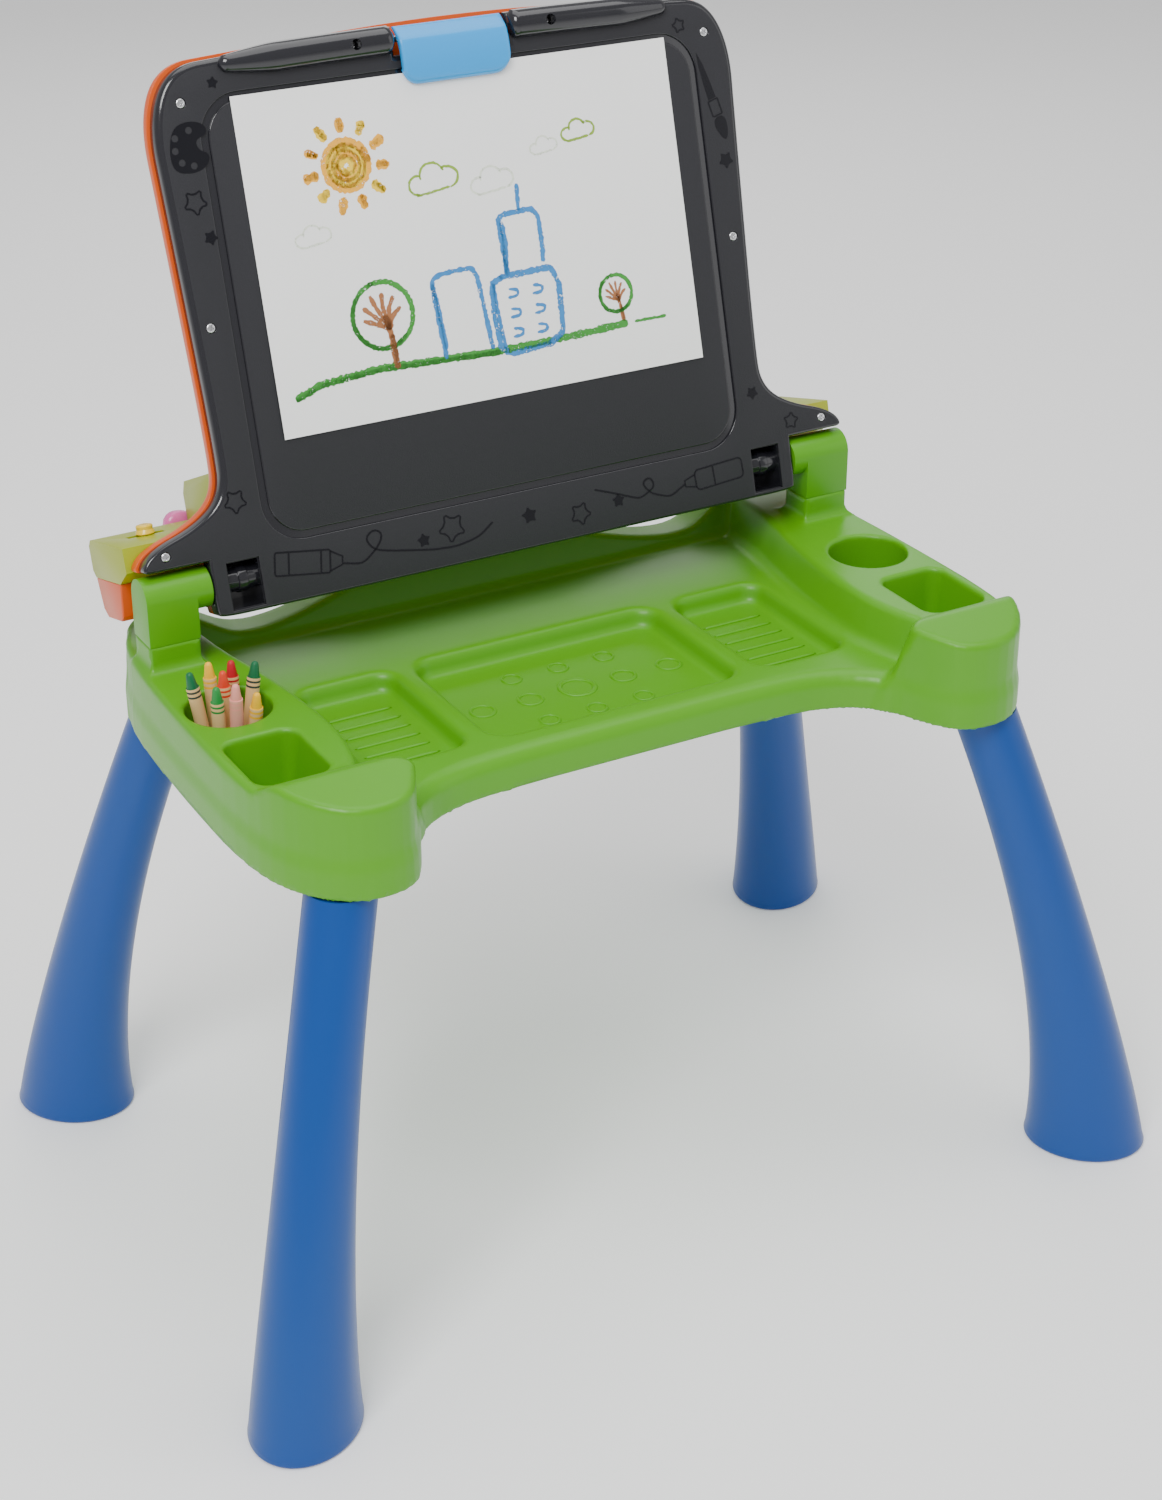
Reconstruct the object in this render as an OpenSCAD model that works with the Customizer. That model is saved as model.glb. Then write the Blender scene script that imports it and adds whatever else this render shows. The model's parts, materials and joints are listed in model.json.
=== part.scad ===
// Child's activity desk: a green storage tray on four flared legs, with a lid that
// stands up as an easel and folds down as a desk top with an electronic console.
// Millimetres, +Z up, origin on the floor midway between the four feet.
// The child sits on the -Y side. The lid is drawn raised.

/* [Tray] */
// Width of the tray over its side walls
tray_w = 514; // [480:1:620]
// Distance from the origin to the tips of the front wings
tray_front = 153; // [145:1:190]
// Distance from the origin to the back wall
tray_back = 160; // [150:1:195]
// Height of the middle deck above the floor
deck_z = 336; // [280:1:420]
// How far the side wings stand above the deck
wing_rise = 26; // [22:1:36]
// How far the skirt hangs below the deck
skirt_drop = 24; // [20:1:34]
// Thickness of the moulded walls
wall = 2.6; // [2:0.1:3.4]
// Depth of the three recesses in the deck
recess_depth = 12; // [8:0.5:15]
// Diameter of the round crayon cups
cup_d = 51; // [46:0.5:54]

/* [Legs] */
// Distance of a foot's centre from the middle, across the desk
foot_x = 284; // [270:1:330]
// Distance of a foot's centre from the middle, front to back
foot_y = 187; // [180:1:230]
// Radius of a leg where it meets the tray
leg_top_r = 21; // [17:0.5:24]
// Radius of a leg at the floor, across its flare
foot_r = 36; // [30:0.5:42]
// Thickness of a leg's hollow wall, measured across
leg_wall = 5; // [4:0.5:7]
// Radius of the spigot at the top of a leg
spigot_r = 15; // [12:0.5:16]
// Length of the spigot inside its socket
spigot_len = 34; // [26:1:38]

/* [Hinge] */
// Height of the hinge line above the top of the wings
hinge_rise = 44; // [40:1:52]
// Distance of the hinge line behind the origin
hinge_y = 81; // [75:1:90]
// Radius of the round top of a hinge block
block_r = 12.5; // [11:0.5:13]
// Radius of the hinge pins
pin_r = 4; // [3:0.5:5]
// Running clearance around the hinge pins
pin_gap = 0.05; // [0.02:0.01:0.09]

/* [Lid] */
// Height of the lid above the hinge line, measured along the lid
lid_h = 307; // [290:1:340]
// Half width of the lid's upper panel
lid_half_w = 193; // [185:1:197]
// Lean of the raised lid, in degrees from upright
lean = 15.5; // [10:0.5:20]
// Thickness of the charcoal drawing board moulding
board_t = 11; // [9:0.5:12]
// Thickness of the orange back shell
shell_t = 9; // [7:0.5:12]
// Width of the drawing sheet
sheet_w = 292; // [270:1:310]
// Height of the drawing sheet
sheet_h = 200; // [180:1:210]

/* [Clip] */
// Width of the paper clip
clip_w = 72; // [60:1:84]
// Radius of the clip's pivot pin
clip_pin_r = 2; // [1.5:0.1:2.4]

/* [Console] */
// Depth of the console behind the lid's back shell
console_d = 63; // [58:1:70]
// Width of the console
console_w = 500; // [480:1:500]
// Radius of the round push buttons
button_r = 11; // [9:0.5:12]
// Travel of the push buttons
button_travel = 2; // [1:0.1:2.4]
// Travel of the power slider
slider_travel = 12; // [8:0.5:14]
// Length of the telephone handset
handset_len = 108; // [96:1:112]

/* [Crayons] */
// Diameter of a crayon
crayon_d = 8; // [7:0.1:8.4]
// Length of a whole crayon
crayon_len = 68; // [56:1:68]

/* [Hidden] */
$fn = 64;
eps = 0.5;
wing_z = deck_z + wing_rise;
skirt_z = deck_z - skirt_drop;
half_w = tray_w / 2;
hinge_z = wing_z + hinge_rise;
block_x0 = half_w - 41;
block_x1 = half_w - 9;
seam_z = wing_z + 17;
boss_x0 = block_x0 - 10;
cheek_x1 = boss_x0 - 1;
cheek_x0 = cheek_x1 - 10;
window_x0 = cheek_x0 - 21;
front_v = -board_t;
lid_bottom_v = -20;
ear_v = 15;
notch_v = lid_h - 19;
closed_extra = 6.5;
lid_travel = 90 + lean + closed_extra;
pad_gap = 0.4;
cup_x = half_w - 32;
cup_y = 9;
cup_floor = skirt_z + 4;
bin_x0 = half_w - 54;
bin_x1 = half_w - 8;
bin_y0 = -90;
bin_y1 = -32;
bin_floor = skirt_z + 9;
wing_in = half_w - 75;
leg_top_x = half_w - 38;
leg_top_y = 127;
leg_back_y = 127;
recess_y0 = -58;
recess_y1 = 56;
recess_mid = 87;
recess_in = 100;
recess_out = 167;
deck_front = -80;
deck_back = 130;
console_v0 = -17;
console_split = 7;
console_v1 = 30;
console_v2 = 62;
console_y1 = shell_t + console_d;
console_half = console_w / 2;
neck_half = lid_half_w - 8;
button_v = 34;
button_xs = [36, 66, 96, 126];
sheet_v1 = notch_v - 11;
sheet_v0 = sheet_v1 - sheet_h;
clip_v = lid_h - 10;
clip_y = -6;
green = [0.50, 0.76, 0.27];
blue = [0.10, 0.38, 0.68];
orange = [0.93, 0.43, 0.16];
charcoal = [0.25, 0.26, 0.28];
lime = [0.75, 0.83, 0.28];
sky = [0.33, 0.72, 0.92];
steel = [0.7, 0.7, 0.72];

// ---- helpers ----

// One pass of corner cutting on a closed outline
function cut_corners(p) = [
  for (i = [0 : len(p) - 1]) each [
    p[i] * 0.75 + p[(i + 1) % len(p)] * 0.25,
    p[i] * 0.25 + p[(i + 1) % len(p)] * 0.75
  ]
];
function smooth(p, passes) = passes == 0 ? p : smooth(cut_corners(p), passes - 1);

// Right half of an outline, whose ends lie on the middle line, closed with its mirror image
function mirrored(p) = concat(p, [for (i = [len(p) - 2 : -1 : 1]) [-p[i][0], p[i][1]]]);

function unit(v) = v / norm(v);
function left_of(v) = [-v[1], v[0]];
// Moves each corner of an anticlockwise outline inwards by d
function inset(p, d) = [
  for (i = [0 : len(p) - 1])
    let (
      a = unit(p[i] - p[(i + len(p) - 1) % len(p)]),
      b = unit(p[(i + 1) % len(p)] - p[i]),
      n = unit(left_of(a) + left_of(b))
    ) p[i] + n * (d / max(0.5, n * left_of(a)))
];

module slab(z0, z1) {
  translate([0, 0, z0]) linear_extrude(z1 - z0) children();
}

module box(x, y, z) {
  translate([x[0], y[0], z[0]]) cube([x[1] - x[0], y[1] - y[0], z[1] - z[0]]);
}

// Rounded rectangle from exact arcs
module rounded(x, y, r) {
  translate([x[0] + r, y[0]]) square([x[1] - x[0] - 2 * r, y[1] - y[0]]);
  translate([x[0], y[0] + r]) square([x[1] - x[0], y[1] - y[0] - 2 * r]);
  for (cx = [x[0] + r, x[1] - r], cy = [y[0] + r, y[1] - r]) translate([cx, cy]) circle(r);
}

module x_rod(x0, x1, r) {
  translate([x0, 0, 0]) rotate([0, 90, 0]) cylinder(r = r, h = x1 - x0);
}

module y_rod(y0, y1, r) {
  translate([0, y0, 0]) rotate([-90, 0, 0]) cylinder(r = r, h = y1 - y0);
}

module both_sides() {
  children();
  mirror([1, 0, 0]) children();
}

// The lid's own frame: X across, Y out of its back, Z up along it, origin on the hinge line
module on_lid() {
  translate([0, hinge_y, hinge_z]) rotate([-lean, 0, 0]) children();
}

// Extrudes an outline drawn in the lid's X and Z through its thickness
module through_lid(y0, y1) {
  translate([0, y1, 0]) rotate([90, 0, 0]) linear_extrude(y1 - y0) children();
}

// Extrudes an outline drawn in the lid's Y and Z along X
module across_lid(x0, x1) {
  translate([x0, 0, 0]) rotate([90, 0, 90]) linear_extrude(x1 - x0) children();
}

// ---- tray ----

tray_right = [
  [0, deck_front], [half_w - 162, deck_front], [half_w - 122, deck_front - 6],
  [half_w - 94, deck_front - 26], [half_w - 84, 22 - tray_front], [half_w - 70, 0.5 - tray_front],
  [half_w - 36, -tray_front], [half_w - 10, 28 - tray_front], [half_w, 70 - tray_front],
  [half_w, -10], [half_w - 2, 50], [half_w - 5, tray_back - 68], [half_w - 14, tray_back - 30],
  [half_w - 34, tray_back - 6], [half_w - 70, tray_back], [half_w - 110, tray_back - 8],
  [90, tray_back - 4], [0, tray_back]
];
tray_outline = mirrored(tray_right);

// Plan of a raised wing, open to the outside, where the tray's outline trims it
wing_right = [
  [wing_in + 14, tray_back + 20], [wing_in + 14, 100], [wing_in + 3, 30], [wing_in - 3, -40],
  [wing_in + 1, -84], [wing_in - 12, -130], [wing_in - 20, -tray_front - 20],
  [half_w + 20, -tray_front - 20], [half_w + 20, tray_back + 20]
];
wing_inside = [
  [wing_in + 14, tray_back + 20], [wing_in + 14, 100], [wing_in + 3, 30], [wing_in - 3, -40],
  [wing_in + 1, -84], [wing_in - 12, -104], [wing_in - 14, -tray_front - 20],
  [half_w + 20, -tray_front - 20], [half_w + 20, tray_back + 20]
];

module tray_plan(d) {
  polygon(smooth(inset(tray_outline, d), 2));
}

module wing_plan(d) {
  intersection() {
    tray_plan(d);
    translate([d, 0]) polygon(wing_inside);
  }
}

module wings() {
  both_sides() slab(deck_z - eps, wing_z) wing_plan(0);
}

// Raised pads at the wing tips, cut to the slope of the closed lid
module pads() {
  both_sides() intersection() {
    slab(wing_z - eps, wing_z + 20) intersection() {
      tray_plan(1.2);
      translate([wing_in - 12, -tray_front - 5]) square([102, 43]);
    }
    translate([0, hinge_y, hinge_z]) rotate([closed_extra, 0, 0])
      box([0, half_w], [-300, 0], [-60, -board_t - pad_gap]);
  }
}

// Wall behind the deck, with a low dip each side and an arch in the middle
module back_wall() {
  rise = wing_rise;
  half = [
    [0, -eps], [wing_in + 20, -eps], [wing_in + 20, rise], [wing_in + 10, rise - 1],
    [wing_in - 6, rise - 14], [wing_in - 24, rise - 19], [wing_in - 50, rise - 17],
    [wing_in - 82, rise - 8], [wing_in - 110, rise], [0, rise + 2]
  ];
  intersection() {
    slab(skirt_z, wing_z + 10) tray_plan(0);
    both_sides() translate([0, tray_back, deck_z]) rotate([90, 0, 0])
      linear_extrude(tray_back - deck_back) polygon(half);
  }
}

module recess_plans(d) {
  rounded([-recess_mid - d, recess_mid + d], [recess_y0 - d, recess_y1 + d], 16 + d);
  both_sides() rounded([recess_in - d, recess_out + d], [recess_y0 + 2 - d, recess_y1 - 2 + d], 14 + d);
}

module cup_places() {
  both_sides() translate([cup_x, cup_y, 0]) children();
}

module leg_tops() {
  both_sides() {
    translate([leg_top_x, -leg_top_y, 0]) children();
    translate([leg_top_x, leg_back_y, 0]) children();
  }
}

module bin_plan(d) {
  both_sides() rounded([bin_x0 - d, bin_x1 + d], [bin_y0 - d, bin_y1 + d], 9 + d);
}

// Space under the tray, leaving the cups, bins, recesses and leg sockets standing
module underside() {
  difference() {
    union() {
      slab(skirt_z - 1, deck_z - wall) tray_plan(wall);
      both_sides() slab(deck_z - wall - eps, wing_z - wall) wing_plan(wall);
    }
    slab(deck_z - recess_depth - wall, deck_z) recess_plans(wall);
    slab(cup_floor - wall, wing_z) cup_places() circle(cup_d / 2 + wall);
    slab(bin_floor - wall, wing_z) bin_plan(wall);
    slab(skirt_z - 2, wing_z) leg_tops() circle(spigot_r + wall);
  }
}

module deck_ribs() {
  floor_z = deck_z - recess_depth;
  pitch = 13;
  both_sides() for (i = [0 : 5])
    box([recess_in + 12, recess_out - 10], [-38 + i * pitch, -35.4 + i * pitch], [floor_z - eps, floor_z + 1.2]);
}

// Raised rings on the floor of the middle recess, in staggered rows
module deck_rings() {
  floor_z = deck_z - recess_depth;
  for (row = [-1 : 1], i = [-2 : 2]) {
    r = (row == 0 && i == 0) ? 12 : 7 + (row == 0 ? 1.5 : 0);
    if (abs(i) + abs(row) < 3)
      translate([i * 33 + row * 3, row * 30 - 4, floor_z - eps]) difference() {
        cylinder(r = r, h = 1.3);
        translate([0, 0, -1]) cylinder(r = r - 2, h = 4);
      }
  }
}

module hinge_feet() {
  both_sides() box([block_x0, block_x1], [hinge_y - block_r, hinge_y + block_r], [wing_z - eps, seam_z]);
}

module tray() {
  color(green) union() {
    difference() {
      union() {
        slab(skirt_z, deck_z) tray_plan(0);
        wings();
        back_wall();
        pads();
        hinge_feet();
      }
      underside();
      slab(deck_z - recess_depth, deck_z + 1) recess_plans(0);
      slab(cup_floor, wing_z + 1) cup_places() circle(cup_d / 2);
      slab(bin_floor, wing_z + 1) bin_plan(0);
      slab(skirt_z - 3, skirt_z + spigot_len + 1) leg_tops() circle(spigot_r + 0.2);
      hinge_screw_places() translate([0, 0, -40]) cylinder(r = 1.6, h = 60);
      hinge_screw_places() translate([0, 0, -60]) cylinder(r = 3.6, h = 50);
    }
    deck_ribs();
    deck_rings();
  }
}

// ---- hinge blocks ----

module hinge_screw_places() {
  both_sides() for (dx = [7, 25])
    translate([block_x0 + dx, hinge_y, seam_z]) children();
}

module hinge_cap() {
  color(green) difference() {
    union() {
      box([block_x0, block_x1], [hinge_y - block_r, hinge_y + block_r], [seam_z, hinge_z]);
      translate([0, hinge_y, hinge_z]) x_rod(boss_x0, block_x1, block_r);
    }
    translate([0, hinge_y, hinge_z]) x_rod(boss_x0 - 1, block_x1 - 4, pin_r);
    for (dx = [7, 25])
      translate([block_x0 + dx, hinge_y, seam_z - 1]) cylinder(r = 1.4, h = 15);
  }
}

module hinge_cap_right() { hinge_cap(); }
module hinge_cap_left() { mirror([1, 0, 0]) hinge_cap(); }

module hinge_pin() {
  color(steel) translate([0, hinge_y, hinge_z]) x_rod(window_x0 - 8, block_x1 - 4, pin_r);
}

module hinge_pin_right() { hinge_pin(); }
module hinge_pin_left() { mirror([1, 0, 0]) hinge_pin(); }

// Screws up through the tray into the hinge blocks
module hinge_screws() {
  color(steel) hinge_screw_places() {
    translate([0, 0, -10]) cylinder(r = 1.4, h = 22);
    translate([0, 0, -12.2]) cylinder(r = 3, h = 2.2);
  }
}

// ---- legs ----

// Places along a leg, t from 0 at the floor to 1 under the tray
function leg_bow(t) = pow(max(0, t), 1.45);
function leg_x(t) = foot_x + (leg_top_x - foot_x) * leg_bow(t);
function leg_y(t, top_y) = foot_y + (top_y - foot_y) * leg_bow(t);
function leg_r(t) = leg_top_r + (foot_r - leg_top_r) * pow(1 - max(0, t), 2.4);

module leg_slice(t, top_y, inside) {
  long = 1 + 0.10 * pow(1 - t, 2);
  out = atan2(foot_y - top_y, foot_x - leg_top_x);
  translate([leg_x(t), leg_y(t, top_y), t * (skirt_z - 1)]) rotate(out)
    scale([long, 2 - long, 1]) cylinder(r = leg_r(t) - inside, h = 1, $fn = 32);
}

module leg(top_y) {
  steps = 4;
  hollow_steps = 3;
  hollow_top = 0.94;
  color(blue) union() {
    difference() {
      for (i = [0 : steps - 1]) hull() {
        leg_slice(i / steps, top_y, 0);
        leg_slice((i + 1) / steps, top_y, 0);
      }
      for (i = [0 : hollow_steps - 1]) hull() {
        leg_slice(i == 0 ? -0.01 : i * hollow_top / hollow_steps, top_y, leg_wall);
        leg_slice((i + 1) * hollow_top / hollow_steps, top_y, leg_wall);
      }
    }
    translate([leg_top_x, top_y, skirt_z - 2]) cylinder(r = spigot_r, h = spigot_len + 2);
  }
}

module leg_back_right() { leg(leg_back_y); }
module leg_back_left() { mirror([1, 0, 0]) leg(leg_back_y); }
module leg_front_right() { mirror([0, 1, 0]) leg(leg_top_y); }
module leg_front_left() { mirror([1, 0, 0]) mirror([0, 1, 0]) leg(leg_top_y); }

// ---- crayons in the left cup ----

// One crayon from its foot on the cup's floor, leaning towards an angle
module crayon(spot, turn, tilt, worn) {
  foot = crayon_d / 2 * sin(tilt) + 0.3;
  long = crayon_len - worn;
  translate([-cup_x + spot[0], cup_y + spot[1], cup_floor + foot]) rotate([0, tilt, turn]) {
    cylinder(d = crayon_d, h = long - 9);
    translate([0, 0, long - 9]) cylinder(d1 = crayon_d - 1.2, d2 = crayon_d - 3.6, h = 9);
  }
}

module crayons_dark_green() {
  color([0.04, 0.34, 0.22]) {
    crayon([-9, 6], 160, 9, 0);
    crayon([9, 2], 15, 10, 0);
  }
}
module crayons_yellow() {
  color([0.97, 0.72, 0.12]) {
    crayon([-2, 14], 110, 4, 1);
    crayon([9, -10], 300, 6, 10);
  }
}
module crayon_green() { color([0.16, 0.55, 0.25]) crayon([-8, -6], 230, 3, 4); }
module crayon_orange_red() { color([0.90, 0.22, 0.12]) crayon([-0.5, 2.5], 100, 1, 1); }
module crayon_crimson() { color([0.78, 0.06, 0.14]) crayon([9, 12.5], 80, 3, 2); }
module crayon_pink() { color([0.95, 0.55, 0.50]) crayon([0, -10], 280, 2, 3); }

// ---- lid ----

// Right half of the drawing board, from the bottom edge up to the top, grown by g above the hinge
function board_right(g) = [
  [0, lid_bottom_v], [cheek_x0 - 30, lid_bottom_v], [cheek_x1 - 2, lid_bottom_v],
  [cheek_x1, lid_bottom_v + 4], [cheek_x1, ear_v - 4], [cheek_x1, ear_v],
  [half_w - 22, ear_v], [half_w - 9 + g, ear_v], [half_w - 18 + g, ear_v + 12],
  [half_w - 50 + g, ear_v + 22], [lid_half_w - 3 + g, ear_v + 36], [lid_half_w - 5 + g, ear_v + 60],
  [lid_half_w + g, lid_h * 0.72], [lid_half_w + 2 + g, lid_h - 38 + g], [lid_half_w - 14 + g, lid_h - 9 + g],
  [lid_half_w - 48, lid_h - 7 + g], [0, lid_h + g]
];

// Flat ends of the hinge cheeks stay sharp, so those corners are kept by a trimming box
module lid_plan(g, d) {
  difference() {
    polygon(smooth(inset(mirrored(board_right(g)), d), 2));
    both_sides() translate([cheek_x1, lid_bottom_v - 5]) square([80, ear_v - lid_bottom_v + 5]);
  }
}

module windows() {
  both_sides() through_lid(-20, 20) translate([window_x0, -17]) square([cheek_x0 - window_x0, 29]);
}

module clip_notch() {
  box([-clip_w / 2 - 1.5, clip_w / 2 + 1.5], [-30, 0], [notch_v, lid_h + 20]);
}

bar_screw_x = 65;
bar_v = lid_h - 10.5;
screw_spots = [
  [lid_half_w - 17, lid_h - 30], [lid_half_w - 13, 149], [half_w - 26, 23], [bar_screw_x, bar_v]
];
module lid_screw_places() {
  both_sides() for (s = screw_spots) translate([s[0], 0, s[1]]) children();
}

module board_frame() {
  inner = 8;
  color(charcoal) on_lid() difference() {
    union() {
      difference() {
        through_lid(-board_t, 0) lid_plan(0, 0);
        through_lid(-board_t + wall, 1) intersection() {
          lid_plan(0, inner);
          translate([-200, ear_v + 14]) square([400, notch_v - ear_v - 22]);
        }
      }
      lid_screw_places() y_rod(-board_t + wall - eps, 0, 4.5);
    }
    windows();
    clip_notch();
    both_sides() x_rod(window_x0 - 9, cheek_x1 + 1, pin_r + pin_gap);
    lid_screw_places() y_rod(-board_t - 1, -board_t + 1.6, 3.2);
    lid_screw_places() y_rod(-board_t, 1, 1.5);
    translate([0, clip_y, clip_v]) x_rod(-clip_w / 2 - 9, clip_w / 2 + 9, clip_pin_r);
    drawing_groove();
  }
}

// Shallow channel around the drawing area
module drawing_groove() {
  x = lid_half_w - 26;
  through_lid(-board_t - 1, -board_t + 1.2) difference() {
    rounded([-x, x], [17, sheet_v1 + 2.5], 26);
    rounded([-x + 4.5, x - 4.5], [21.5, sheet_v1 - 2], 22);
  }
}

// Half-round bar along the top of the board, broken by the clip and thinner towards its ends
module top_bar() {
  r = 8.5;
  x0 = clip_w / 2 + 3;
  x1 = lid_half_w - 78;
  x2 = lid_half_w - 43;
  color([0.14, 0.14, 0.16]) on_lid() both_sides() difference() {
    translate([0, -board_t, bar_v]) intersection() {
      union() {
        x_rod(x0, x1, r);
        translate([x1, 0, 0]) rotate([0, 90, 0]) cylinder(r1 = r, r2 = 4.5, h = x2 - x1);
      }
      box([0, lid_half_w], [-r - 1, 0], [-r - 1, r + 1]);
    }
    translate([bar_screw_x, 0, bar_v]) y_rod(-board_t - 10, -board_t + 1, 3.2);
  }
}

module lid_shell() {
  color(orange) on_lid() difference() {
    union() {
      difference() {
        through_lid(0, shell_t) lid_plan(1.8, 0);
        through_lid(-1, shell_t - wall) intersection() {
          lid_plan(1.8, 8);
          translate([-200, ear_v + 14]) square([400, notch_v - ear_v - 22]);
        }
      }
      lid_screw_places() y_rod(0, shell_t - 1, 4.5);
    }
    windows();
    both_sides() x_rod(window_x0 - 9, cheek_x1 + 1, pin_r + pin_gap);
    lid_screw_places() y_rod(-1, shell_t - 3, 1.4);
  }
}

// Barrel that turns with the lid between the two cheeks of a window
module hinge_barrel() {
  mid = (window_x0 + cheek_x0) / 2;
  color([0.10, 0.10, 0.11]) on_lid() difference() {
    union() {
      x_rod(window_x0, cheek_x0, 7.4);
      x_rod(mid - 3, mid + 3, 8.4);
    }
    x_rod(window_x0 - 1, cheek_x0 + 1, pin_r + pin_gap);
  }
}
module hinge_barrel_right() { hinge_barrel(); }
module hinge_barrel_left() { mirror([1, 0, 0]) hinge_barrel(); }

module lid_screws() {
  color(steel) on_lid() lid_screw_places() {
    y_rod(-board_t + 0.2, -board_t + 1.6, 2.9);
    y_rod(-board_t + 1.5, shell_t - 3.2, 1.4);
  }
}

module paper_sheet() {
  color("white") on_lid()
    box([-sheet_w / 2, sheet_w / 2], [-board_t - 0.35, -board_t - 0.05], [sheet_v0, sheet_v0 + sheet_h]);
}

// ---- page holder on the back, which is the top when the lid is folded down ----

page_x = 156;
page_v0 = console_v2 + 8;
page_v1 = lid_h - 28;
module page_frame() {
  color(lime) on_lid() through_lid(shell_t, shell_t + 4) difference() {
    rounded([-page_x, page_x], [page_v0, page_v1], 16);
    rounded([-page_x + 9, page_x - 9], [page_v0 + 9, page_v1 - 9], 10);
  }
}

module activity_page() {
  color("white") on_lid() through_lid(shell_t, shell_t + 0.5)
    rounded([-page_x + 9.4, page_x - 9.4], [page_v0 + 9.4, page_v1 - 9.4], 9.6);
}

// ---- console ----

housing_profile = [
  [shell_t, console_split], [console_y1 - 4, console_split], [console_y1, console_split + 4],
  [console_y1, console_v1 - 3], [console_y1 - 3, console_v1], [shell_t, console_v1]
];
end_profile = [
  [shell_t, ear_v], [24, console_split], [console_y1 - 4, console_split], [console_y1, console_split + 4],
  [console_y1, console_v1 - 4], [console_y1 - 4, console_v1], [shell_t, console_v1]
];
deep_profile = [
  [shell_t, console_split], [console_y1 - 4, console_split], [console_y1, console_split + 4],
  [console_y1, console_v2 - 16], [console_y1 - 5, console_v2 - 8], [shell_t + 12, console_v2],
  [shell_t, console_v2]
];
base_profile = [
  [24, console_split], [30, console_v0 + 3], [34, console_v0], [console_y1 - 14, console_v0],
  [console_y1 - 8, console_v0 + 5], [console_y1 - 4, console_split]
];
base_deep_profile = [
  [shell_t, console_split], [shell_t, console_v0], [console_y1 - 14, console_v0],
  [console_y1 - 8, console_v0 + 5], [console_y1 - 4, console_split]
];
deep_half = cheek_x1 - 4;

module handset_rests() {
  for (x = [handset_x0 + 12, handset_x0 + handset_len - 12])
    translate([x, 0, handset_v]) y_rod(console_y1 - wall - 3, console_y1 + 10, 11.5);
}

module display_hole(d) {
  through_lid(console_y1 - wall - 1, console_y1 + 1) rounded([-74 - d, 6 + d], [20 - d, 46 + d], 4 + d);
}

module speaker_holes() {
  for (ring = [0 : 2], i = [0 : max(0, ring * 6 - 1)]) {
    a = 60 / max(1, ring) * i;
    translate([speaker_x + 5.5 * ring * cos(a), 0, speaker_v + 5.5 * ring * sin(a)])
      y_rod(console_y1 - wall - 1, console_y1 + 1, 1.5);
  }
}

slider_x = -(half_w - 35);
slider_y = 46;
speaker_x = 163;
speaker_v = 29;
handset_x0 = -200;
handset_v = 24;

module console_housing() {
  color(lime) on_lid() difference() {
    union() {
      both_sides() across_lid(neck_half - 1, console_half) polygon(end_profile);
      across_lid(-neck_half, neck_half) polygon(deep_profile);
    }
    both_sides() across_lid(neck_half - 2, console_half - wall) polygon(inset(end_profile, wall));
    across_lid(-neck_half + wall, neck_half - wall) polygon(inset(deep_profile, wall));
    across_lid(-deep_half + 6, deep_half - 6)
      polygon([[shell_t + wall, 0], [console_y1 - 9, 0], [console_y1 - 9, 12], [shell_t + wall, 12]]);
    display_hole(0);
    speaker_holes();
    for (x = button_xs) translate([x, 0, button_v]) y_rod(console_y1 - wall - 1, console_y1 + 1, button_r + 0.4);
    box([slider_x - slider_travel / 2 - 6, slider_x + slider_travel / 2 + 6], [slider_y - 3.5, slider_y + 3.5],
        [console_v1 - wall - 1, console_v1 + 1]);
  }
}

module console_base() {
  color(orange) on_lid() difference() {
    union() {
      both_sides() across_lid(deep_half - 1, console_half) polygon(base_profile);
      across_lid(-deep_half, deep_half) polygon(base_deep_profile);
    }
    both_sides() across_lid(deep_half + 2, console_half - wall)
      polygon([[32, console_split + 1], [34, console_v0 + wall + 1], [console_y1 - 14, console_v0 + wall + 1],
               [console_y1 - 8, console_split + 1]]);
    across_lid(-deep_half + 4, deep_half - 4)
      polygon([[shell_t + wall, console_split + 1], [shell_t + wall, console_v0 + wall],
               [console_y1 - 15, console_v0 + wall], [console_y1 - 8, console_split + 1]]);
    box([door_x0, door_x1], [door_y0, door_y1], [console_v0 - 1, console_v0 + wall + 1]);
  }
}

module display_window() {
  color([0.75, 0.88, 0.95, 0.4]) on_lid() intersection() {
    display_hole(-0.15);
    through_lid(console_y1 - wall, console_y1 - 0.6) translate([-90, 0]) square([120, 80]);
  }
}

module display_panel() {
  color([0.12, 0.16, 0.14]) on_lid()
    box([-72, 4], [console_y1 - wall - 7, console_y1 - wall - 1], [19, 45]);
}

board_y = console_y1 - 15;
module circuit_board() {
  color([0.1, 0.4, 0.2]) on_lid() union() {
    box([-80, 140], [board_y, board_y + 1.6], [22, 48]);
    box([-20, 0], [board_y - 3, board_y + eps], [26, 40]);
    for (x = button_xs) translate([x, 0, button_v]) y_rod(board_y + 1.5, board_y + 5, 3);
  }
}

module speaker() {
  color([0.15, 0.15, 0.16]) on_lid() translate([speaker_x, 0, speaker_v]) union() {
    y_rod(console_y1 - wall - 5, console_y1 - wall, 14.5);
    y_rod(console_y1 - wall - 14, console_y1 - wall - 4.5, 9);
  }
}

// ---- batteries behind a screwed door on the console's hinge side ----

cell_r = 7.1;
cell_len = 50.4;
cell_x0 = 60;
case_x0 = cell_x0 - 4;
case_x1 = cell_x0 + cell_len + 4;
case_y0 = 20;
case_y1 = console_y1 - 17;
door_x0 = case_x0 + 2;
door_x1 = case_x1 + 14;
door_y0 = case_y0 + 3;
door_y1 = case_y1 - 2;

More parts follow.
